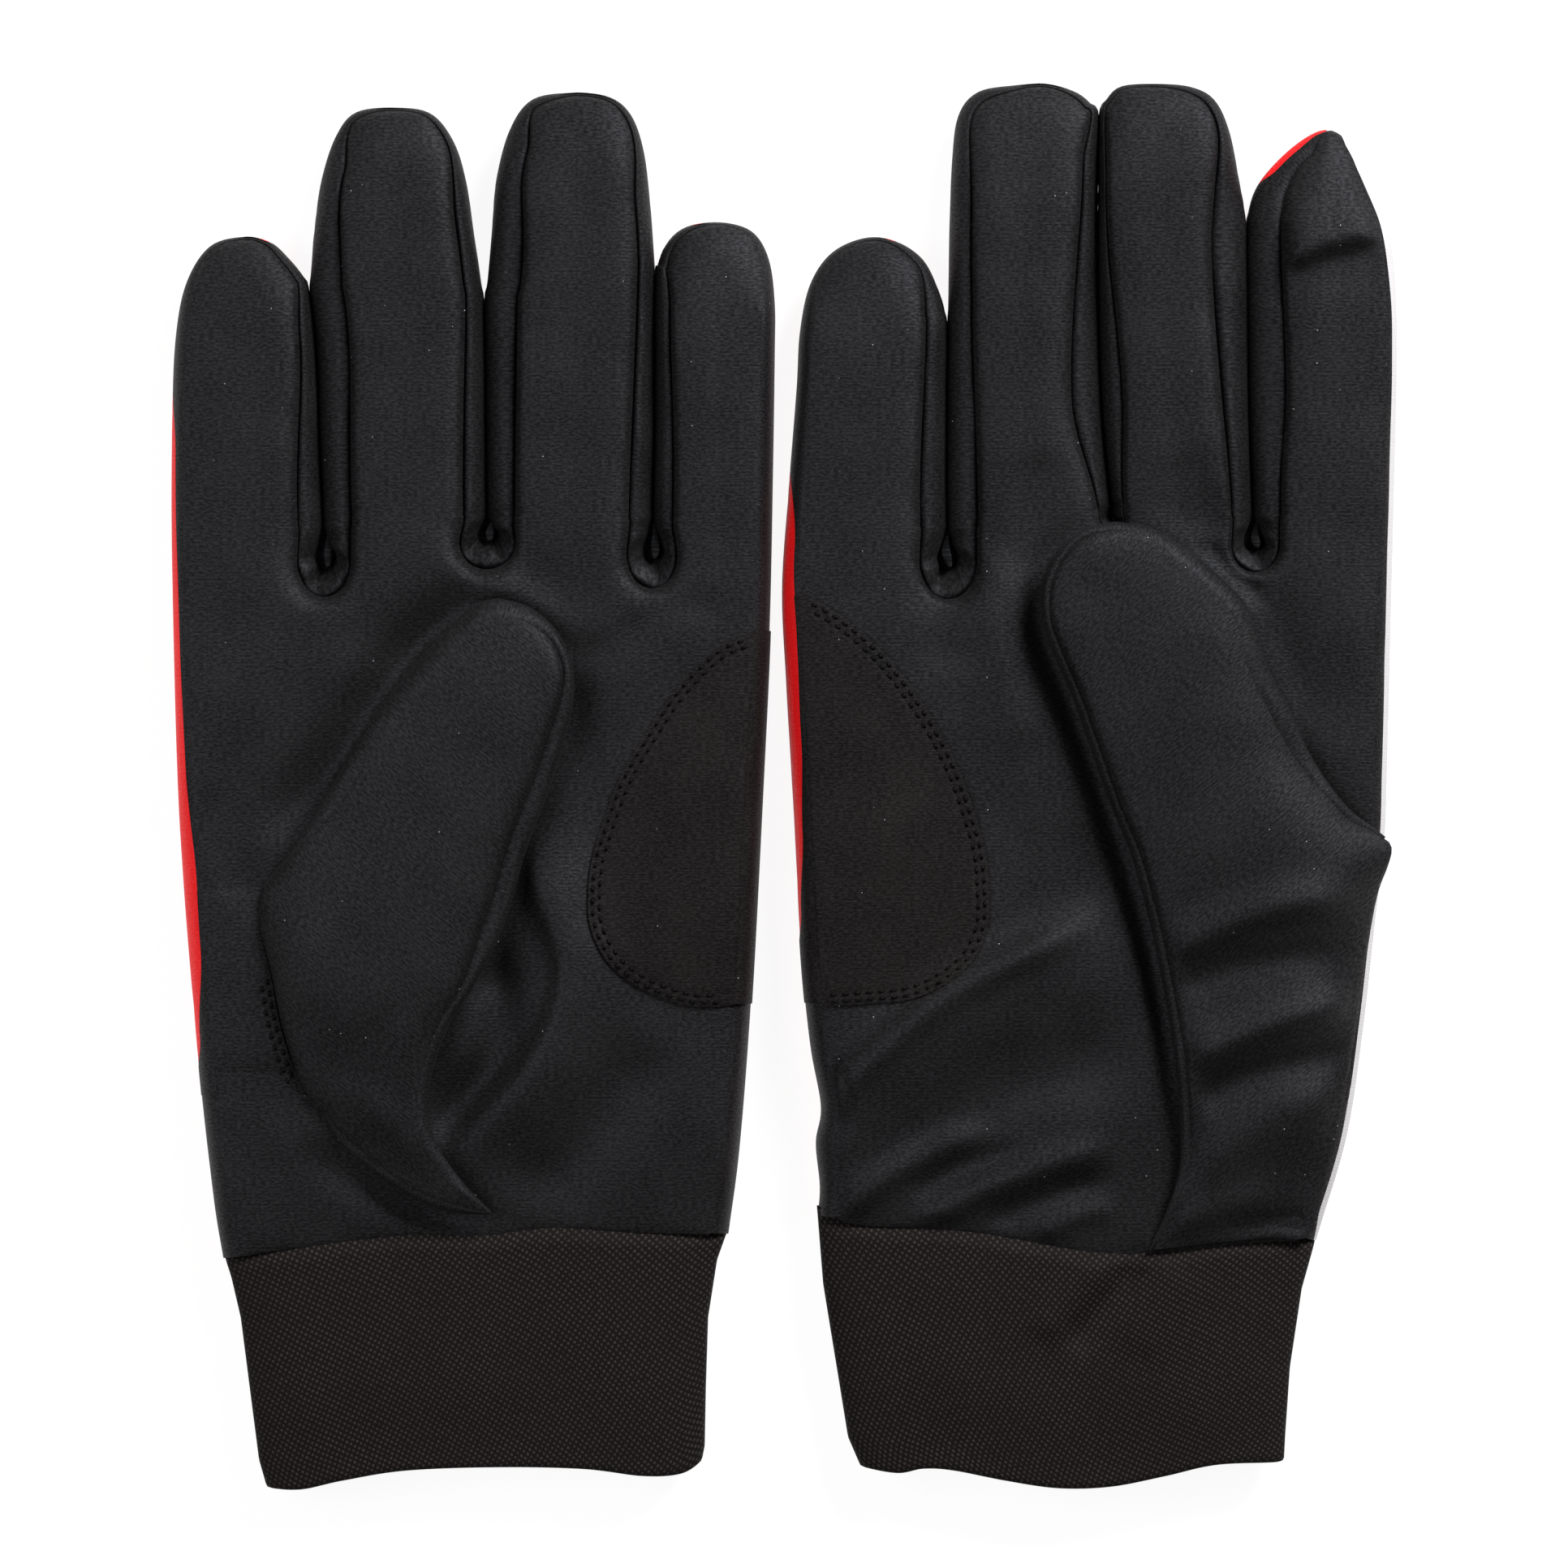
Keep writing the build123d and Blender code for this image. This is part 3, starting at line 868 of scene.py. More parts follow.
# A crease's strength along the front seam: deep in the slots, none where the panel rolls over the sides.
# IN_SLOT is 1 where the edge lies in a slot. Both are {mark: [(millimetres past it, value)]}.
SEAM_CREASE = {
    "wrist_low": [(0, 0)], "0_apex": [(-6, 0), (6, 0.3), (24, 1)],
    "1_apex": [(-24, 1), (-4, 0.3), (4, 0.3), (24, 1)], "2_apex": [(-24, 1), (-4, 0.3), (4, 0.3), (24, 1)],
    "3_apex": [(-24, 1), (-6, 0.3), (6, 0)], "wrist_high": [(0, 0)],
}
IN_SLOT = {
    "wrist_low": [(0, 0)], "0_apex": [(12, 0), (22, 1)], "1_apex": [(-36, 1), (-22, 0), (22, 0), (36, 1)],
    "2_apex": [(-36, 1), (-22, 0), (22, 0), (36, 1)], "3_apex": [(-22, 1), (-12, 0)],
    "wrist_high": [(0, 0)],
}
CREASE = 1.25
# SEAM_SHADE is how far, in millimetres, a side strip's pattern coordinate is moved off the front seam where
# the crease is shallow, so the fourchette material's painted seam shade lies only along deep creases.
SEAM_SHADE = 1.8

# Each is a path over the palm, how far it stands up (down where negative), and its spread on either side.
LEFT_FOLDS = [
    ([(-45, -6), (-42, -19), (-38.4, -31), (-39.4, -40), (-44, -49), (-51, -57), (-58, -67)],
     3.3, (9, 2.2)),
    ([(-53, -26), (-49, -38), (-51, -49), (-57, -57), (-62, -66)], -3.1, (4.2, 4)),
    ([(-22, -44), (-32, -60), (-46, -76)], -1.4, (7, 6)),
    ([(-92, -14), (-84, -3), (-76, 8), (-67, 21), (-57, 31), (-50, 34)], -2.9, (5, 3.4)),
    ([(-50, 37), (-42, 35), (-34, 27), (-31, 18)], -1.1, (6, 5)),
    ([(-80, 30), (-66, 25), (-58, 32)], -0.5, (8, 7)),
    ([(-64, 44), (-52, 35), (-36, 28), (-22, 29)], 0.9, (4, 4)),
    ([(-86, -62), (-74, -70), (-62, -75.4), (-50, -78)], -1.3, (4, 3.4)),
    ([(-104, 2), (-97, -14), (-90, -24)], -0.8, (4, 4)),
    ([(-86, 40), (-92, 22), (-95, 0)], 0.7, (6, 7)),
    ([(-30, 24), (-20, 31), (-8, 31)], -0.6, (3, 3)),
    ([(-38, 20), (-34, 0), (-32, -22)], -0.5, (3, 4)),
]
RIGHT_FOLDS = [
    ([(0, -68), (9, -55), (20, -44.6), (31, -36), (45, -29), (62, -21)], 2.6, (3.6, 14)),
    ([(0, -68), (9, -55), (20, -44.6), (31, -36), (45, -29), (58, -23)], 1.3, (3, 2.6)),
    ([(16, -72), (29, -61), (43, -53), (64, -47)], -1.8, (9, 6)),
    ([(8, -79), (16, -71), (28, -64), (38, -60)], 1.7, (2.8, 2.4)),
    ([(22, -80), (32, -73), (44, -68), (60, -63)], 1.8, (2.8, 2.6)),
    ([(22, -74), (32, -67.6), (44, -64)], -1, (2.4, 2.4)),
    ([(34, -78), (48, -72.5), (60, -69)], -1.2, (2.2, 2.6)),
    ([(44, -81), (52, -76), (60, -75)], 0.9, (2.4, 2)),
    ([(2, -52), (7, -58), (11, -62)], -1.4, (2.4, 2.6)),
    ([(69, -67), (69, -57), (65.6, -34), (57, -4), (50, 15), (45.4, 27), (44.8, 36), (48, 43), (57, 48)],
     -1.5, (2, 5)),
    ([(34, 46), (37, 28), (41, 8), (47, -14)], 1, (9, 4)),
    ([(20, 36), (28, 30), (31, 18)], -0.8, (5, 5)),
    ([(58, 50), (68, 49), (78, 42), (86, 33), (90, 22), (98, 4)], -1.3, (6, 4)),
    ([(30, 32), (38, 20), (44, 4)], 0.8, (5, 5)),
    ([(36, 36), (42, 46), (47, 60)], -0.7, (4, 5)),
    ([(40, 50), (45, 66), (46, 90)], 0.4, (5, 5)),
    ([(72, 86), (89, 92), (99, 95.6), (122, 99)], 2.2, (9, 1.3)),
    ([(78, 83), (89, 87.4), (99, 91), (114, 93)], -0.5, (3, 5)),
    ([(70, 60), (76, 50), (82, 42)], -0.6, (4, 4)),
    ([(84, 30), (84, 50), (86, 70)], 0.4, (5, 5)),
    ([(72, 43), (79, 38.6), (86, 31)], -0.9, (1.6, 2.6)),
]


# ---------------------------------------------------------------- building the hands


def seam_height(glove):
    """How high the front panel's seam is: high where it rolls over the hand's sides, low in the slots."""
    entries = {"wrist_low": [(0, 10.4), (16, 11.8)], "wrist_high": [(-16, 11.8), (0, 10.4)]}
    entries["3_high"] = [(0, 12.0)]
    for k in range(4):
        rise = OUTER_SEAM if k == 0 else SLOT_SEAM
        fall = OUTER_SEAM if k == 3 else SLOT_SEAM
        entries[f"{k}_low"] = [(0, 9.6 if k else 12.0)]
        entries[f"{k}_apex"] = [(-26, rise), (-9, 7.6), (0, 6.4), (9, 7.6), (26, fall)]
        if k < 3:
            entries |= {f"{k}_high": [(0, 9.6)], f"crotch_{k}": [(0, 9.2)]}
    return glove.stations(entries)


class Hand:
    """The cloth of one hand and its four fingers."""

    def __init__(self, glove, folds, pressed, seed):
        self.glove, self.folds, self.pressed, self.seed = glove, folds, pressed, seed
        pattern, inward = glove.pattern, glove.inward
        self.line = np.column_stack([glove.run, np.zeros(len(glove.run))])
        apexes = sum(glove.near(f"{k}_apex", 9.0) for k in range(4))
        crotches = sum(glove.near(f"crotch_{k}", 2.6) for k in range(3))
        eyes, in_slot = glove.open_eyes(), glove.stations(IN_SLOT)
        self.profile = {
            "seam": glove.stations(pattern["seam"]) - 1.4 * eyes * (1 - np.clip(crotches, 0, 1)),
            "inset": 1.4 - 1.36 * in_slot - 1.35 * eyes,
            "top": seam_height(glove),
            "middle": 5.4 - 1.6 * np.clip(apexes, 0, 1),
            "bottom": np.full(len(glove.xy), 1.1),
        }
        self.crease = glove.stations(SEAM_CREASE) * (1 + 0.3 * waves(self.line, seed + 7, 12, 60))
        shown = glove.stations(pattern["edge_colour"]) - 3.0 * in_slot
        colour_v = edge_place(self.profile["seam"], shown)
        seam = glove.xy + inward * self.profile["seam"][:, None]
        back_seam = glove.xy + inward * self.profile["inset"][:, None]
        zero, one = np.zeros(len(glove.xy)), np.ones(len(glove.xy))
        self.upper, uv = strip(glove, self.profile, zero, colour_v, 14, self.pucker)
        # The painted seam shade fades where the crease is shallow: the coordinate across is moved off the
        # seam there.
        uv[..., 0] += SEAM_SHADE * (1 - np.clip(self.crease, 0, 1))[:, None]
        self.upper_uv, self.upper_normals = uv, grid_normals(self.upper)
        self.lower, self.lower_uv = strip(glove, self.profile, colour_v, one, 8)
        self.lower_normals = grid_normals(self.lower)
        self.front = self.make_front(seam)
        self.back = self.make_back(back_seam)

    # -- side strips

    def pucker(self, v):
        """The crumpled cloth at the bottom of each slot."""
        glove = self.glove
        move = np.zeros((*v.shape, 3))
        upper = np.sin(np.clip(v * 2, 0, 1) * math.pi)
        for k in range(3):
            past = glove.run - glove.run[glove.marks[f"crotch_{k}"]]
            close = np.exp(-((past / 5.0) ** 2))[:, None]
            ripple = np.sin(past * 1.5 + 1.7 * k)[:, None]
            move[..., 2] += close * upper * (0.9 * ripple - 1.0)
            move[..., 0] += close * upper * 0.5 * np.sin(past * 2.1 + k)[:, None]
        move[..., 2] += upper * (0.22 * waves(self.line, self.seed + 5, 6, 22))[:, None]
        move[..., 2] += 1.1 * self.crease[:, None] * (1 - np.exp(-v / 0.05)) * (1 - np.clip(2 * v, 0, 1))
        return move

    def upper_part(self, first, last):
        return solid_strip(self.upper, self.upper_uv, self.upper_normals, self.glove.marks, first, last)

    def lower_part(self, first, last):
        return solid_strip(self.lower, self.lower_uv, self.lower_normals, self.glove.marks, first, last)

    # -- front and back panels

    def panel(self, seam, heights, wrist_z, full, reach, step):
        """A panel inside its seam and the wrist, and the lines across it where the fingers begin."""
        marks, wrist = self.glove.marks, self.glove.wrist
        wrist = wrist[(wrist[:, 0] > seam[0, 0] + 0.9) & (wrist[:, 0] < seam[-1, 0] - 0.9)]
        along_wrist = np.minimum(wrist[:, 0] - seam[0, 0], seam[-1, 0] - wrist[:, 0])
        z = heights[0] + (wrist_z - heights[0]) * ease(along_wrist / 12)
        ends = [(seam[marks[f"{k}_low"]], seam[marks[f"{k}_high"]]) for k in range(4)]
        lines = [resample(np.array(pair, float), 1.3) for pair in ends]
        loop, loop_z = np.vstack([seam, wrist]), np.concatenate([heights, z])
        return lines, laid_cloth(loop, loop_z, self.crease, full, reach, step, lines)

    def full_front(self, x, y):
        """The front panel's height away from its seams."""
        z = np.where(y > SPLIT_Y, FINGER_TOP, HAND_TOP - (HAND_TOP - FINGER_TOP) * ease((y - 20) / 28))
        for tip in self.glove.pattern["tips"]:
            top = max(p[1] for p in tip)
            here = (x > tip[0][0] - 1) & (x < tip[-1][0] + 1) & (y > SPLIT_Y)
            z = np.where(here, FINGER_TOP - 1.6 * ease((y - top + 26) / 26), z)
        z = z - (HAND_TOP - WRIST_TOP) * ease((-y - 56) / 26)
        return z - self.pressed(np.column_stack([np.ravel(x), np.ravel(y)])).reshape(np.shape(x))

    def make_front(self, seam):
        wrist_z = WRIST_TOP - 0.9
        lines, cloth = self.panel(seam, self.profile["top"], wrist_z, self.full_front, SEAM_REACH, 1.3)
        points, faces, z, depth, crease = cloth
        shape = sum(fold(points, *f) for f in self.folds) + 0.11 * waves(points, self.seed)
        free = 1 - self.pressed(points) / THUMB_PRESSURE
        z = z + shape * ease(depth / 3.0) * free + puff(crease, depth)
        verts = np.column_stack([points, z])
        return verts, faces, vertex_normals(verts, faces), lines

    def make_back(self, seam):
        lines, cloth = self.panel(seam, self.profile["bottom"], 0.9, hand_underside, 3.0, 2.2)
        points, faces, z, _, _ = cloth
        verts, faces = np.column_stack([points, np.maximum(z, FLOOR_CLEARANCE)]), faces[:, ::-1]
        return verts, faces, vertex_normals(verts, faces), lines

    def share(self, sheet, finger=-1):
        """The part of a panel below the split, or one finger's part above it."""
        verts, faces, normals, lines = sheet
        x, y, _ = verts[faces].mean(axis=1).T
        owner = np.full(len(faces), -1)
        slots = self.glove.pattern["slots"]
        for k, line in enumerate(lines):
            across = (x > line[0, 0] - 3) & (x < line[-1, 0] + 3)
            left = -1e9 if k == 0 else np.interp(y, *slot_line(slots[k - 1]))
            right = 1e9 if k == 3 else np.interp(y, *slot_line(slots[k]))
            above = (y > np.interp(x, line[:, 0], line[:, 1])) & (x > left) & (x < right)
            owner[above & (across | (y > SPLIT_Y + 2))] = k
        chosen = faces[owner == finger]
        used = np.unique(chosen)
        new = np.full(len(verts), -1)
        new[used] = np.arange(len(used))
        return thicken(verts[used], new[chosen], normals[used], verts[used, :2])


def hand_underside(x, y):
    """The height of a hand's back panel where it lies on the floor."""
    return np.full(np.shape(x), 0.3)


def slot_line(slot):
    """A slot as (heights, places), in rising order, for interpolation."""
    points = sorted(slot, key=lambda p: p[1])
    return [p[1] for p in points], [p[0] for p in points]


def outer_side(k):
    """Which side of a finger is the hand's outer side, if one is."""
    return {0: "low", 3: "high"}.get(k)


def slot_tuck(slot, seed):
    """The small gathered fold that fills a slot's eye."""
    draw = np.random.RandomState(seed)
    lean, bow = draw.uniform(-0.5, 0.5), draw.uniform(-0.5, 0.5)
    x, y = slot[-1]
    length = eye_length(slot)
    wide = min(1.0, length / 4)
    rows, around = 18, 18
    t = np.linspace(0, 1, rows)[:, None]
    a = np.linspace(0, 2 * math.pi, around, endpoint=False)[None]
    swell = np.sin(math.pi * np.clip(t * 0.94 + 0.03, 0, 1)) ** 0.8
    width = wide * (0.12 + 0.85 * swell * (1.15 - 0.5 * t))
    crest = 5.4 + 3.2 * (1 - t) ** 0.7
    sway = x + wide * (0.45 + lean * t + bow * np.sin(math.pi * t))
    px = sway + width * np.cos(a) * (1 + 0.16 * np.sin(7 * t + 2 * a))
    py = y + 0.11 * length + 0.8 * length * t + 0 * a
    pz = (crest + 3) / 2 + (crest - 3) / 2 * np.sin(a) + 0.25 * np.sin(9 * t + seed) * np.sin(a)
    verts = np.dstack([px, py, pz]).reshape(-1, 3)
    middle = np.dstack([px.mean(axis=1, keepdims=True), py[:, :1], (crest + 3) / 2])
    normals = away(verts, np.repeat(middle, around, axis=1).reshape(-1, 3))
    # The pattern coordinate across stays under a millimetre, so the fourchette material's painted seam shade
    # darkens the tuck, most at its end towards the fingers.
    uv = np.column_stack([np.repeat(0.75 * (1 - t[:, 0]), around), verts[:, 1]])
    return orient((verts, capped(rows, around), uv, normals))


def slot_floor(slot):
    """A scrap of cloth that closes a slot's eye from below, painted near black as shade."""
    length = eye_length(slot)
    x, y = slot[-1]
    angle = np.linspace(0, 2 * math.pi, 28, endpoint=False)
    ring = np.column_stack([x + 2.9 * np.cos(angle), y + length / 2 + (length / 2 + 1.3) * np.sin(angle)])
    # Its pattern coordinate across is zero, so the fourchette material's painted seam shade covers all of
    # it.
    level, dark = np.full(len(ring), 4.4), np.zeros(len(ring))
    faces = np.array([(0, i, i + 1) for i in range(1, len(ring) - 1)])
    up = np.tile((0.0, 0.0, 1.0), (len(ring), 1))
    return orient(thicken(np.column_stack([ring, level]), faces, up, np.column_stack([dark, ring[:, 1]])))


def build_fingers(hand):
    glove = hand.glove
    side, pattern = glove.side, glove.pattern
    for k, finger in enumerate(glove.names):
        body, back_slot = f"{side}_{finger}", BACK_COLOURS[finger]
        low, apex, high = f"{k}_low", f"{k}_apex", f"{k}_high"
        front, walls, back, band = [hand.share(hand.front, k)], [], [hand.share(hand.back, k)], []
        for place, first, last in (("low", low, apex), ("high", apex, high)):
            outer = outer_side(k) == place
            edge_slot = pattern["side"].get(finger, back_slot) if outer else back_slot
            (front if outer else walls).append(hand.upper_part(first, last))
            (back if edge_slot == back_slot else band).append(hand.lower_part(first, last))
        x = (glove.xy[glove.marks[low], 0] + glove.xy[glove.marks[high], 0]) / 2
        hinge = (f"{side}_hand", body, (x, SPLIT_Y + 2, BEND_Z), (x, BEND_END_Y, BEND_Z))
        bend(*hinge, f"{body}_front_panel", "softshell_black", [f"{body}_front"], *front)
        bend(*hinge, f"{body}_side_walls", "fourchette_mesh", [f"{body}_sides"], *walls)
        bend(*hinge, f"{body}_back_panel", back_slot, [f"{body}_back"], *back)
        if band:
            bend(*hinge, f"{body}_edge_band", pattern["side"][finger], [], *band)


def build_hand(hand):
    glove = hand.glove
    side, pattern = glove.side, glove.pattern
    body = f"{side}_hand"
    sides = [hand.upper_part("wrist_low", "0_low"), hand.upper_part("3_high", "wrist_high")]
    seat(body, f"{side}_palm", "softshell_black", [f"{side}_palm_panel"], hand.share(hand.front), *sides)
    crotches = [(f"{k}_high", f"{k + 1}_low") for k in range(3)]
    webs = [part(a, b) for a, b in crotches for part in (hand.upper_part, hand.lower_part)]
    for k, slot in enumerate(pattern["slots"]):
        webs += [slot_tuck(slot, k + hand.seed), slot_floor(slot)]
    seat(body, f"{side}_finger_webs", "fourchette_mesh", [f"{side}_fourchettes"], *webs)
    seat(body, f"{side}_hand_back", BACK_COLOURS["hand"], [f"{side}_back_panel"], hand.share(hand.back))
    edges = {glove.names[0]: ("wrist_low", "0_low"), glove.names[3]: ("3_high", "wrist_high")}
    for finger, marks in edges.items():
        band = (f"{side}_{finger}_side_band", pattern["side"][finger], [f"{side}_{finger}_side_panel"])
        seat(body, *band, hand.lower_part(*marks))


# ---------------------------------------------------------------- thumbs

# A thumb's edge runs clockwise in named stretches, and its root is sewn to the palm. The values along its
# edge are {mark: [(millimetres past it, value)]}.
LEFT_THUMB = {
    "edge": {
        "tip": [
            (-91.2, -18), (-86, -11), (-80, -2), (-72.6, 10.4), (-65.4, 19.7), (-58.2, 27.6), (-54, 31.4),
            (-49.6, 32.6),
        ],
        "kink": [
            (-49.6, 32.6), (-44.4, 31.1), (-39.8, 27.4), (-37, 22.2), (-36.3, 16.8), (-37.6, 9.2),
            (-40.4, 0), (-44.9, -12), (-48.6, -24.6), (-53.4, -34.6), (-57.8, -41.2),
        ],
        "tail": [
            (-57.8, -41.2), (-60.2, -47), (-61.8, -54), (-61.4, -60.6), (-58.8, -66), (-55, -71),
            (-50.6, -75.6),
        ],
        "end": [
            (-50.6, -75.6), (-56.8, -75.4), (-62.8, -73.6), (-67.6, -71), (-73, -67), (-77.4, -63),
            (-80.7, -57.9),
        ],
    },
    "root": [(-80.7, -57.9), (-84.4, -52.6), (-87.7, -43), (-89.8, -32.7), (-91.8, -24.6), (-91.2, -18)],
    "root_height": 13.4,
    "seam": {
        "start": [(0, 0.4), (24, 3.2)], "tip": [(-20, 4.4), (0, 3.2), (16, 1.7)],
        "kink": [(-48, 3.2), (-18, 3.5), (0, 1.6)], "tail": [(-12, 2), (0, 0.3), (8, 1.4)],
        "end": [(-8, 1.4), (0, 0.4)],
    },
    "crease": {"start": [(0, 0)], "tip": [(4, 0), (20, 1)], "kink": [(-6, 1), (6, 0.2)], "end": [(0, 0)]},
    "top": {
        "start": [(0, 13.5), (14, 18.4)], "tip": [(-18, 21.4), (0, 20.4), (14, 19.2)],
        "kink": [(-18, 18.2), (0, 18.8)], "tail": [(-20, 18.2), (-8, 16), (0, 13.8), (8, 15), (18, 14.6)],
        "end": [(-12, 13.8), (-6, 13.4), (0, 13.2)],
    },
    "middle": {
        "start": [(0, 13.4), (14, 15.2)], "tip": [(0, 17)], "kink": [(0, 16.8)],
        "tail": [(-14, 15.6), (0, 13.2), (10, 13.8)], "end": [(-8, 13), (0, 12.9)],
    },
    "bottom": {"start": [(0, 12.7), (10, 12.6)], "tail": [(-8, 12.6), (0, 12.4)], "end": [(0, 12.4)]},
    "inset": {"start": [(0, 0.4), (12, 2.6)], "tail": [(-12, 2.6), (0, 0.3), (9, 2.2)], "end": [(0, 0.4)]},
    "full": lambda x, y: 22.4 - 5.6 * ease((-y - 34) / 36),
    "folds": [
        ([(-84, -24), (-76, -34), (-70, -44)], 0.5, (5, 6)),
        ([(-78, -50), (-68, -60), (-58, -68)], 0.9, (4, 3)),
        ([(-86, -36), (-80, -48), (-70, -58)], -0.7, (4, 4)),
        ([(-66, -38), (-64, -50), (-60, -62)], 0.6, (3, 3)),
        ([(-80, -14), (-70, -6), (-60, 0)], -0.35, (7, 7)),
    ],
    "axis": 52,
    "across": (0.727, 0.686),
    "hinge": (-75.85, -35.2),
}
RIGHT_THUMB = {
    "edge": {
        "tip": [
            (64.6, -82), (67.6, -75), (69.9, -67), (69.8, -57), (68.5, -45), (66.5, -33.6), (64.2, -22.9),
            (61.2, -12.4), (57.8, -4), (54.2, 6), (51, 15), (47.6, 22.8), (45.5, 29), (45.8, 35.8),
            (48.8, 41.6), (53.2, 45), (58.4, 46),
        ],
        "corner": [
            (58.4, 46), (64.4, 45.1), (70.2, 42), (76.2, 37), (81, 32), (83.2, 27.4), (85.5, 20),
            (89.5, 12.4), (93.6, 3.8), (99.4, -4), (103.8, -7.4), (106.2, -9.3),
        ],
    },
    "root": [
        (106.2, -9.3), (107.3, -11.4), (106.6, -14.6), (105, -19), (103.6, -26), (101.4, -41), (98.4, -59),
        (94.6, -73), (92.8, -79.6), (86, -79.9), (76.8, -80.7), (68, -81.7), (64.6, -82),
    ],
    "root_height": 11.5,
    "seam": {
        "start": [(0, 0.5), (20, 1.8)], "tip": [(-30, 1.6), (0, 1.6), (16, 3.2)],
        "corner": [(-30, 3.6), (-8, 1.6), (0, 0.4)],
    },
    "crease": {"start": [(0, 0), (30, 0.6)], "tip": [(-8, 0.8), (6, 0)], "corner": [(0, 0)]},
    "top": {
        "start": [(0, 11.8), (12, 14), (36, 16.8), (70, 18.4)], "tip": [(-24, 19.2), (0, 19.4), (16, 20.6)],
        "corner": [(-42, 20), (-14, 15.6), (0, 12.5)],
    },
    "middle": {
        "start": [(0, 11.6), (12, 12.9), (36, 14.6), (70, 15.8)], "tip": [(0, 16.6)],
        "corner": [(-36, 16.2), (-12, 13.8), (0, 12.3)],
    },
    "bottom": {"start": [(0, 11.4), (30, 12.2)], "tip": [(0, 12.5)], "corner": [(-22, 12.5), (0, 12)]},
    "inset": {"start": [(0, 0.4), (16, 2.2)], "tip": [(0, 2.6)], "corner": [(-14, 2.2), (0, 0.4)]},
    "full": lambda x, y: 22.0 - 3.6 * ease((-y - 4) / 40) - 5.6 * ease((-y - 44) / 38),
    "folds": [
        ([(64, -32), (76, -25.5), (88, -21.5), (103, -20)], 1.8, (4, 2.6)),
        ([(66, -38), (80, -32), (100, -29)], -1.3, (3, 3.4)),
        ([(66, -51), (80, -44.5), (90, -41), (104, -38)], 2.3, (3.8, 2.2)),
        ([(68, -57), (84, -50.5), (102, -46)], -1.8, (2.6, 4.4)),
        ([(68, -72), (78, -65), (88, -59), (102, -54)], 1.2, (4.6, 6)),
        ([(66, -80), (76, -75), (88, -72)], 1, (3.4, 2.4)),
        ([(78, -81), (86, -78), (95, -78)], -1.2, (2.4, 3)),
        ([(72, 32), (78, 20), (86, 6)], 0.4, (7, 7)),
    ],
    "axis": 128,
    "across": (-0.598, 0.802),
    "hinge": (87.05, -25.5),
}


class Thumb(Edge):
    """A pillow of cloth that lies over the palm."""

    def __init__(self, side, shape, seed):
        curves = [(mark, resample(smooth_curve(places), 0.9)) for mark, places in shape["edge"].items()]
        super().__init__(curves, {"start": 0})
        self.side, self.shape, self.seed = side, shape, seed
        self.root = resample(smooth_curve(shape["root"]), 1.1)[1:-1]
        self.crease = self.stations(shape["crease"])

    def piping(self, v):
        """The side strip's roll beside its front seam."""
        move = np.zeros((*v.shape, 3))
        move[..., 2] = 0.7 * self.crease[:, None] * np.sin(np.clip(2 * v, 0, 1) * math.pi)
        return move

    def build(self):
        side, shape = self.side, self.shape
        profile = {name: self.stations(shape[name]) for name in PROFILE}
        grid, uv = strip(self, profile, np.zeros(len(self.xy)), np.ones(len(self.xy)), 18, self.piping)
        wall = solid_strip(grid, uv, grid_normals(grid), self.marks, "start", [*self.marks][-1])
        front = self.panel(profile["seam"], profile["top"], shape["full"], THUMB_REACH, 0.0, 1.2)
        back = self.panel(profile["inset"], profile["bottom"], thumb_underside, 3.0, 1.4, 2.4)
        body = f"{side}_thumb"
        place, across = np.array(shape["hinge"]), np.array(shape["across"])
        start, end = (*(place - 3 * across), THUMB_BEND_Z), (*(place + 15 * across), THUMB_BEND_Z)
        hinge = (f"{side}_hand", body, start, end)
        nodes = [f"{side}_thumb_front", f"{side}_thumb_gusset"]
        bend(*hinge, f"{body}_front_panel", "softshell_black", nodes, front)
        bend(*hinge, f"{body}_side_wall", "softshell_black", [f"{side}_thumb_sides"], wall)
        bend(*hinge, f"{body}_back_panel", "softshell_black", [f"{side}_thumb_back"], back)

    def panel(self, inset, heights, full, reach, root_inset, step):
        """The front, or the back where the root is set in."""
        front = root_inset == 0
        root = self.root if front else self.root + side_normals(self.root) * root_inset
        s = run_length(root)
        height = self.shape["root_height"] - (0 if front else UNDER_ROOT)
        root_z = heights[-1] + (height - heights[-1]) * ease(s / 8)
        root_z = root_z + (heights[0] - height) * (1 - ease((s[-1] - s) / 8))
        loop = np.vstack([self.xy + self.inward * inset[:, None], root])
        loop_z = np.concatenate([heights, root_z])
        points, faces, z, depth, raised = laid_cloth(loop, loop_z, self.crease, full, reach, step)
        if front:
            shape = sum(fold(points, *f) for f in self.shape["folds"])
            shape = shape + 0.10 * waves(points, self.seed, 9, 30)
            z = z + shape * ease(depth / 4.0) + puff(raised, depth)
        else:
            faces = faces[:, ::-1]
        verts = np.column_stack([points, z])
        turn = math.radians(self.shape["axis"])
        uv = points @ np.array([[math.sin(turn), math.cos(turn)], [-math.cos(turn), math.sin(turn)]])
        return thicken(verts, faces, vertex_normals(verts, faces), uv)


def thumb_underside(x, y):
    """The height of a thumb's back panel where it lies on the palm."""
    return 12.4 - 1.2 * ease((-y - 26) / 36)


def thumb_pressure(shape):
    """How far the palm is pressed down where the thumb lies on it."""
    curves = {mark: smooth_curve(places, 5) for mark, places in shape["edge"].items()}
    sewn = np.vstack([curves.pop("end", np.zeros((0, 2))), smooth_curve(shape["root"], 5)])
    free = np.vstack(list(curves.values()))
    outline = np.vstack([free, sewn])

    def pressed(points):
        clear, _, _ = nearest_distance(free, points)
        clear = np.where(inside(outline, points), -clear, clear)
        held, _, _ = nearest_distance(sewn, points)
        return THUMB_PRESSURE * ease((1.3 - clear) / 2.4) * ease(held / 5)

    return pressed


# ---------------------------------------------------------------- patches and stitches

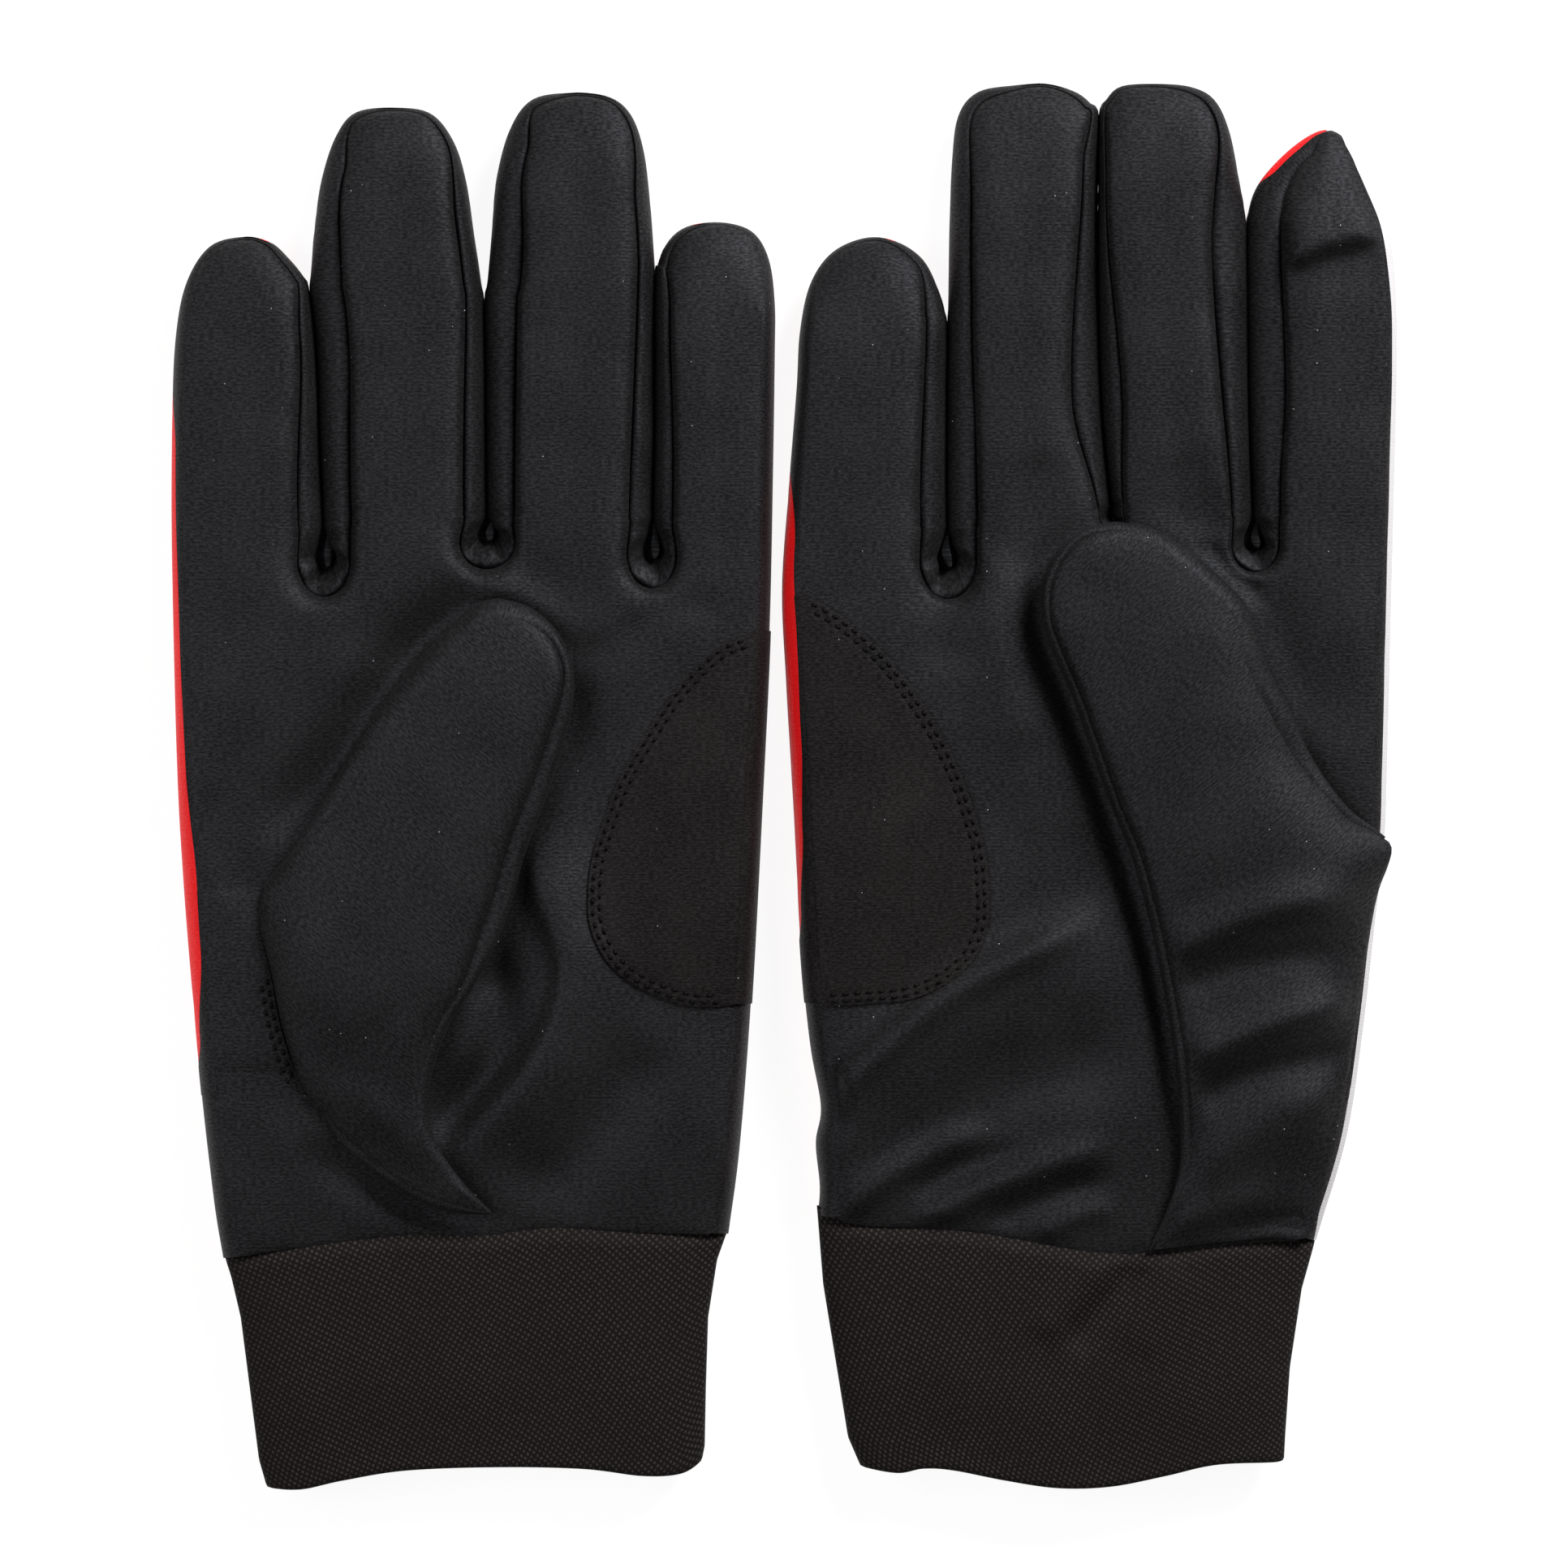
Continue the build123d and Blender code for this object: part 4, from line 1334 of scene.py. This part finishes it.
LEFT_HEEL = [
    (-8.6, -38.9), (-13.6, -39.2), (-18.6, -38.4), (-25.3, -35.6), (-30.3, -31.5), (-33.4, -25.6),
    (-34, -20), (-33.4, -13.4), (-31.5, -7), (-28.5, 1.1), (-23.9, 9), (-18.5, 17), (-11.6, 23.8),
    (-5.4, 26.6),
]
RIGHT_HEEL = [
    (3.4, 33.2), (6.4, 32), (11, 29.2), (15.4, 25.6), (19.8, 21), (24, 15.4), (28, 9), (31.4, 2),
    (34, -5.4), (35.8, -12), (36.4, -19), (36.3, -24.6), (34.4, -29.6), (31, -33.4), (26, -36.5),
    (21.6, -38), (15.4, -38.6), (7.4, -39.2),
]
LEFT_CROTCH = [
    (-102.4, -18.3), (-98, -18.2), (-91.2, -18.4), (-91.9, -24.6), (-90, -32.7), (-88, -43), (-84.8, -52.4),
    (-81.4, -58),
]
LEFT_CROTCH_END = [(-81.4, -58), (-90, -58), (-98.6, -56)]
PATCH_LIFT = 0.8
STITCH_PITCH = 2.1
STITCH_LENGTH = 1.2
STITCH_WIDTH = 0.55
STITCH_RINGS, STITCH_AROUND = 7, 8
LEFT_CROTCH_TOP = [(-104.6, -18.3), (-91.2, -18.4)]
# Each heel patch, the heights between which it wraps the hand's side, and which side that is.
HEELS = {"left": (LEFT_HEEL, -38.9, 27.2, "high"), "right": (RIGHT_HEEL, -39.5, 33.8, "low")}


class Surface:
    """The height of the palm's cloth anywhere over the hand."""

    def __init__(self, hand):
        verts = np.vstack([hand.front[0], hand.upper.reshape(-1, 3)])
        verts = verts[verts[:, 2] > 4]
        self.z, self.tree = verts[:, 2], tree_of(verts)

    def __call__(self, points):
        found = np.zeros(len(points))
        for i, p in enumerate(points):
            near = self.tree.find_n((p[0], p[1], 0), 4)
            weight = np.array([1 / (d + 0.05) ** 2 for _, _, d in near])
            found[i] = (weight * self.z[[j for _, j, _ in near]]).sum() / weight.sum()
        return found


def wrapped_side(hand, low_y, high_y, which, lift):
    """A patch's continuation over the hand's outer side: the side strip's rows between two heights, lifted.

    With it come its first column and that column's normals, for the patch to join."""
    marks = hand.glove.marks
    rows = slice(0, marks["0_low"]) if which == "low" else slice(marks["3_high"], len(hand.glove.xy))
    y = hand.glove.xy[rows, 1]
    keep = np.nonzero((y > low_y) & (y < high_y))[0] + rows.start
    keep = slice(keep[0], keep[-1] + 1)
    taper = lift * np.linspace(1, 0.2, hand.upper.shape[1])[None, :, None]
    normals, uv = hand.upper_normals[keep], hand.upper_uv[keep].reshape(-1, 2)
    grid = hand.upper[keep] + normals * taper
    faces = grid_faces(*grid.shape[:2])
    part = thicken(grid.reshape(-1, 3), faces, normals.reshape(-1, 3), uv, PATCH_CLOTH)
    return (grid[:, 0], normals[:, 0]), part


def patch_part(surface, border, side, seams, lift, crown, grooves, sink=None):
    """A patch sewn over the palm, and its points and heights.

    Its edge stands up, and it dips along its stitching. side is the column of a wrapped side that it joins,
    with that column's normals."""
    column, turn = side
    points, faces = fill(np.vstack([border, column[:, :2]]), 1.1, rings=(0.35, 0.9, 1.4, 1.9, 2.6))
    distance, _, _ = nearest_distance(seams, points)
    z = surface(points) + lift * (0.6 + 0.4 * ease(distance / 0.8)) + crown * ease(distance / 14)
    for place in grooves:
        z -= 0.26 * np.exp(-(((distance - place) / 0.34) ** 2))
    if sink is not None:
        z -= sink(points)
    joined = [np.nonzero(np.abs(points - p[:2]).sum(axis=1) < 1e-3)[0] for p in column]
    for at, p in zip(joined, column):
        z[at] = p[2]
    verts = np.column_stack([points, z])
    normals = vertex_normals(verts, faces)
    for at, normal in zip(joined, turn):
        normals[at] = normal
    return thicken(verts, faces, normals, points, PATCH_CLOTH), (points, z)


def stitch_row(path, heights, start):
    """A row of short raised stitches along a path, the first at a share of the pitch."""
    s = run_length(path)
    half_length, half_width = STITCH_LENGTH / 2, STITCH_WIDTH / 2

    def place(run):
        return np.array([np.interp(run, s, path[:, 0]), np.interp(run, s, path[:, 1])])

    parts = []
    for run in np.arange(STITCH_PITCH * start, s[-1], STITCH_PITCH):
        at, t = place(run), place(run + 0.3) - place(run - 0.3)
        t = t / max(np.linalg.norm(t), 1e-6)
        n, z = np.array([-t[1], t[0]]), np.interp(run, s, heights)
        verts = []
        for b in np.linspace(-math.pi / 2, math.pi / 2, STITCH_RINGS):
            forward = np.sign(math.sin(b)) * abs(math.sin(b)) ** 0.6
            r = math.cos(b) ** 0.7 if abs(b) < 1.57 else 0.02
            for a in np.linspace(0, 2 * math.pi, STITCH_AROUND, endpoint=False):
                flat = at + t * forward * half_length + n * r * math.cos(a) * half_width
                verts.append((*flat, z + r * math.sin(a) * half_width + 0.10 * (1 - forward**2)))
        verts = np.array(verts)
        normals = away(verts, np.array([*at, z]))
        parts.append((verts, capped(STITCH_RINGS, STITCH_AROUND), verts[:, :2], normals))
    return orient(join(parts))


def orient(part):
    """The same part with its closed surface facing outwards."""
    verts, polys, uv, normals = part
    a, b, c = (verts[i] for i in polys[0][:3])
    if np.cross(b - a, c - a) @ normals[polys[0][0]] < 0:
        polys = [tuple(reversed(p)) for p in polys]
    return verts, polys, uv, normals


def build_patches(hand):
    side = hand.glove.side
    body = f"{side}_hand"
    surface = Surface(hand)
    border, *reach = HEELS[side]
    border = resample(smooth_curve(border), 0.9)
    edge, wrap = wrapped_side(hand, *reach, PATCH_LIFT)
    part, (points, z) = patch_part(surface, border, edge, border, PATCH_LIFT, 0.5, (0.8, 2.0))
    patch = seat(body, f"{side}_heel_pad", "patch_suede", [f"{side}_heel_patch"], part, wrap)
    inward, heights = side_normals(border), Nearest(points, z)
    rows = []
    for depth, start in ((0.8, 0.5), (2.0, 1.0)):
        path = (border + inward * depth)[2:-2]
        rows.append(stitch_row(path, heights(path) + 0.05, start))
    crotch, crotch_rows = (left_crotch if side == "left" else right_crotch)(hand, surface)
    cloth = "softshell_black" if side == "left" else "patch_suede"
    patch = (f"{side}_crotch_reinforcement", "patch_suede", [f"{side}_crotch_patch"])
    seat(body, *patch, crotch, material=cloth)
    seat(body, f"{side}_stitch_rows", "thread_black", [f"{side}_patch_stitching"], *rows, *crotch_rows)


class Nearest:
    """The value of the nearest known point."""

    def __init__(self, points, values):
        self.values, self.tree = values, tree_of(points)

    def __call__(self, points):
        return np.array([self.values[self.tree.find((p[0], p[1], 0))[1]] for p in points])


def left_crotch(hand, surface):
    """It lies beside the thumb's root and wraps the hand's edge, tucked down at the thumb's sewn end."""
    border = resample(smooth_curve(LEFT_CROTCH), 0.9)
    side, wrap = wrapped_side(hand, -56.0, -18.3, "low", 0.35)
    end = resample(smooth_curve(LEFT_CROTCH_END), 0.9)[1:-1]
    seams = resample(np.array(LEFT_CROTCH_TOP), 0.9)

    def sink(points):
        return 1.1 * ease((-points[:, 1] - 46) / 9)

    part, (points, z) = patch_part(surface, np.vstack([border, end]), side, seams, 0.6, 0.0, (0.6,), sink)
    heights, inward = Nearest(points, z), side_normals(border)
    stitched = (border[:, 1] < -33) & (border[:, 1] > -55)
    rows = []
    for depth, start in ((0.8, 0.5), (1.9, 1.0)):
        path = (border + inward * depth)[stitched]
        rows.append(stitch_row(path, heights(path) + 0.07, start))
    return join([part, wrap]), rows


def right_crotch(hand, surface):
    """It wraps the hand's edge under the thumb."""
    _, wrap = wrapped_side(hand, -56.0, -13.0, "high", 0.3)
    return wrap, []


# ---------------------------------------------------------------- cuffs and what is inside

LEFT_CUFF = {
    "left": [(0, -98.9), (0.12, -97.3), (0.3, -95.6), (0.6, -94), (0.9, -92.4), (1, -91.2)],
    "right": [(0, -9.2), (0.15, -11.4), (0.4, -13), (0.7, -13.4), (0.95, -13.6), (1, -14)],
    "hem": [
        (-91.2, -123.6), (-84.8, -123.7), (-77.4, -122.1), (-66.2, -120.3), (-50.6, -119.7), (-35.2, -120),
        (-24.6, -121.3), (-17.9, -121), (-14, -119),
    ],
    "folds": [
        ([(-88, -86), (-88, -100), (-86, -118)], 0.25, (6, 6)),
        ([(-40, -84), (-42, -100), (-40, -116)], -0.2, (8, 8)),
    ],
}
RIGHT_CUFF = {
    "left": [(0, 6.2), (0.3, 7.3), (0.65, 9.9), (0.9, 11.7), (1, 13.6)],
    "right": [(0, 94.7), (0.25, 91.9), (0.6, 89.8), (0.9, 89), (1, 88.8)],
    "hem": [
        (13.6, -119.8), (20.4, -120.8), (25, -120), (30.3, -120.3), (39.6, -122.1), (48.9, -123.4),
        (58.2, -123.1), (67.5, -121.3), (76.8, -119.3), (88.8, -119),
    ],
    "folds": [
        ([(64, -82), (60, -88), (55, -94), (50, -101)], -1.5, (2.6, 2.6)),
        ([(56, -82), (52, -88), (48, -94), (45, -99)], 1, (3.4, 3)),
        ([(72, -84), (66, -92), (62, -102)], 0.6, (4, 4)),
        ([(28, -80), (30, -98), (30, -118)], 0.25, (7, 7)),
    ],
}


def oval(count, squareness=3.6):
    """A flattened ring: places across (0 to 1) and up (-1 to 1), evenly spaced for a wide, low section."""
    a = np.linspace(0, 2 * math.pi, 4000)
    x, z = (np.sign(f(a)) * np.abs(f(a)) ** (2 / squareness) for f in (np.cos, np.sin))
    ring = resample(np.column_stack([x * 42, z * 6]), 96 * 2 / count)[:-1]
    return ring[:, 0] / 84 + 0.5, ring[:, 1] / 6


def tube(sections, depth):
    """A closed tube through ring sections. depth is how far along its pattern each section is."""
    grid = np.array(sections)
    verts, faces = grid.reshape(-1, 3), grid_faces(*grid.shape[:2], closed=True, tube=True)
    normals, polys = vertex_normals(verts, faces), [tuple(f) for f in faces.tolist()]
    around, lengthwise = np.broadcast_arrays(run_length(grid[0])[None], np.asarray(depth)[:, None])
    middle = (verts.min(axis=0) + verts.max(axis=0)) / 2
    highest = int(np.argmax(verts[:, 2]))
    if normals[highest] @ (verts[highest] - middle) < 0:
        polys, normals = [tuple(reversed(p)) for p in polys], -normals
    return verts, polys, np.dstack([around, lengthwise]).reshape(-1, 2), normals


def build_cuff(hand, shape, seed):
    """A knit tube from the wrist to the hem, turned in and lined to the wrist again."""
    wrist = smooth_curve(hand.glove.pattern["wrist"])
    wrist = wrist[np.argsort(wrist[:, 0])]
    hem = smooth_curve(shape["hem"])
    across, up = oval(300)

    def section(t, inset, extra=0.0):
        """The ring at a share of the cuff's length, inset from its outside and past its end."""
        low = np.interp(t, *zip(*shape["left"])) + inset
        high = np.interp(t, *zip(*shape["right"])) - inset
        x = low + (high - low) * across
        top_y = np.interp(x, wrist[:, 0], wrist[:, 1]) + 1.6
        hem_y = np.interp(x, hem[:, 0], hem[:, 1])
        y = top_y + (hem_y - top_y) * t - extra
        crest = 9.7 + 2.1 * ease(t / 0.09) - 0.7 * ease((t - 0.6) / 0.4)
        base = 0.35 + 0.5 * (1 - ease(t / 0.09))
        z = (crest + base) / 2 + up * ((crest - base) / 2 - inset)
        points = np.column_stack([x, y])
        swell = sum(fold(points, *f) for f in shape["folds"]) + 0.14 * waves(points, seed, 10, 34)
        return np.column_stack([x, y, z + swell * ease(up * 2.0) * ease(t / 0.05)])

    outer, inner = np.linspace(0, 1, 64), np.linspace(1, 0.05, 24)
    turns = [math.pi * a for a in (0.25, 0.5, 0.75)]
    sections = [section(t, 0.0) for t in outer]
    sections += [section(1.0, 0.9 * (1 - math.cos(a)), 0.7 * math.sin(a)) for a in turns]
    sections += [section(t, 1.8) for t in inner]
    depth = [*(42 * outer), 42.5, 43, 43.5, *(44 + 40 * (1 - inner))]
    side = hand.glove.side
    seat(f"{side}_hand", f"{side}_knit_cuff", "cuff_knit", [f"{side}_cuff"], tube(sections, depth))


def sleeve(places, sides, heights, thickness):
    """A plain inner tube: places are its ring positions along Y, sides gives its left and right at each."""
    across, up = oval(120)
    low, high = heights
    sections, depth = [], []
    for inset, run in ((0.0, places), (thickness, places[::-1])):
        for y in run:
            left, right = sides(y)
            x = left + inset + (right - left - 2 * inset) * across
            z = (low + high) / 2 + up * ((high - low) / 2 - inset)
            ripple = 0.15 * np.sin(x / 3.1 + y / 5.3)
            sections.append(np.column_stack([x, np.full(len(x), y), z + ripple]))
            depth.append(2 * places[-1] - y if inset else y)
    return tube(sections, depth)


def build_inside(hand, cuff):
    """The lining, the elastic and the label, in the places that the CAD gives them."""
    glove = hand.glove
    side, body = glove.side, f"{glove.side}_hand"
    low_side, high_side = glove.xy[: glove.marks["0_low"]], glove.xy[glove.marks["3_high"] :][::-1]

    def in_hand(y):
        left = np.interp(y, low_side[:, 1], low_side[:, 0])
        return left + INSIDE_GAP, np.interp(y, high_side[:, 1], high_side[:, 0]) - INSIDE_GAP

    def in_cuff(y):
        t = (y - CUFF_START) / (CUFF_END - CUFF_START)
        left = np.interp(t, *zip(*cuff["left"]))
        return left + INSIDE_GAP, np.interp(t, *zip(*cuff["right"])) - INSIDE_GAP

    def lengths(node, count):
        low, high = box_mm(node)
        return np.linspace(low[1], high[1], count)

    node = f"{side}_hand_lining"
    lining = sleeve(lengths(node, 40), in_hand, (2.4, 8.4), 0.6)
    seat(body, f"{side}_fleece_lining", "lining_fleece", [node], lining)
    node = f"{side}_wrist_elastic"
    tape = sleeve(lengths(node, 12), in_cuff, (2.3, 9.3), 0.4)
    seat(body, f"{side}_wrist_tape", "elastic_tape", [node], tape)
    build_label(side, body, *box_mm(f"{side}_care_label"))


def build_label(side, body, low, high):
    """A blank satin ribbon sewn in at the wrist, with a slight curl."""
    width, length = LABEL
    rows, columns = 27, 19
    x, y = np.linspace(-width / 2, width / 2, columns), np.linspace(-length / 2, length / 2, rows)
    gx, gy = np.meshgrid(x, y)
    middle = (low + high) / 2
    z = middle[2] + 0.12 * np.cos(gx / 4.0) * np.cos(gy / 7.0)
    verts = np.dstack([middle[0] + gx, middle[1] + gy, z]).reshape(-1, 3)
    faces = grid_faces(rows, columns)[:, ::-1]
    part = thicken(verts, faces, vertex_normals(verts, faces), np.dstack([gx, gy]).reshape(-1, 2), 0.15)
    label = seat(body, f"{side}_blank_label", "label_satin", [f"{side}_care_label"], part)


# ---------------------------------------------------------------- set


def build_stage():
    """A plain pale floor."""
    mesh = bpy.data.meshes.new("floor")
    half = 3.0
    corners = [(-half, -half, 0), (half, -half, 0), (half, half, 0), (-half, half, 0)]
    mesh.from_pydata(corners, [], [(0, 1, 2, 3)])
    floor = bpy.data.objects.new("floor", mesh)
    bpy.context.scene.collection.objects.link(floor)
    material = bpy.data.materials.new("floor paper")
    material.use_nodes = True
    shader = material.node_tree.nodes["Principled BSDF"]
    shader.inputs["Base Color"].default_value = (0.1, 0.1, 0.1, 1)
    shader.inputs["Roughness"].default_value = 0.9
    shader.inputs["Emission Color"].default_value = (1, 1, 1, 1)
    shader.inputs["Emission Strength"].default_value = 0.92
    mesh.materials.append(material)


def area_light(name, place, target, size, power):
    light = bpy.data.lights.new(name, "AREA")
    light.size = size
    light.energy = power
    obj = bpy.data.objects.new(name, light)
    obj.location = place
    obj.rotation_euler = (Vector(target) - Vector(place)).to_track_quat("-Z", "Y").to_euler()
    bpy.context.scene.collection.objects.link(obj)


def build_lights():
    world = bpy.data.worlds.new("studio")
    bpy.context.scene.world = world
    world.use_nodes = True
    background = world.node_tree.nodes["Background"]
    background.inputs["Color"].default_value = (1, 1, 1, 1)
    background.inputs["Strength"].default_value = 0.2
    area_light("key", (0.62, 0.80, 0.63), (0, 0, 0), 0.45, 27)
    area_light("fill", (-0.85, 0.1, 0.85), (0, 0, 0), 0.8, 9.5)
    view = bpy.context.scene.view_settings
    view.view_transform = "Standard"
    view.look = "None"


def build_camera():
    """Straight down over the pair, with the fingertips at the top of the picture."""
    height, seen = 1.2, 0.2763
    camera = bpy.data.cameras.new("camera")
    camera.sensor_width = 36
    camera.lens = 36 * (height - 0.010) / seen
    camera.dof.use_dof = False
    obj = bpy.data.objects.new("camera", camera)
    obj.location = (0.0004, 0, height)
    bpy.context.scene.collection.objects.link(obj)
    bpy.context.scene.camera = obj


GLOVES = (
    ("left", LEFT, LEFT_FOLDS, LEFT_THUMB, LEFT_CUFF, 3),
    ("right", RIGHT, RIGHT_FOLDS, RIGHT_THUMB, RIGHT_CUFF, 11),
)

build_stage()
build_lights()
build_camera()
for side, pattern, folds, thumb, cuff, seed in GLOVES:
    hand = Hand(Glove(side, pattern), folds, thumb_pressure(thumb), seed)
    build_hand(hand)
    build_fingers(hand)
    Thumb(side, thumb, seed + 1).build()
    build_patches(hand)
    build_cuff(hand, cuff, seed + 2)
    build_inside(hand, cuff)
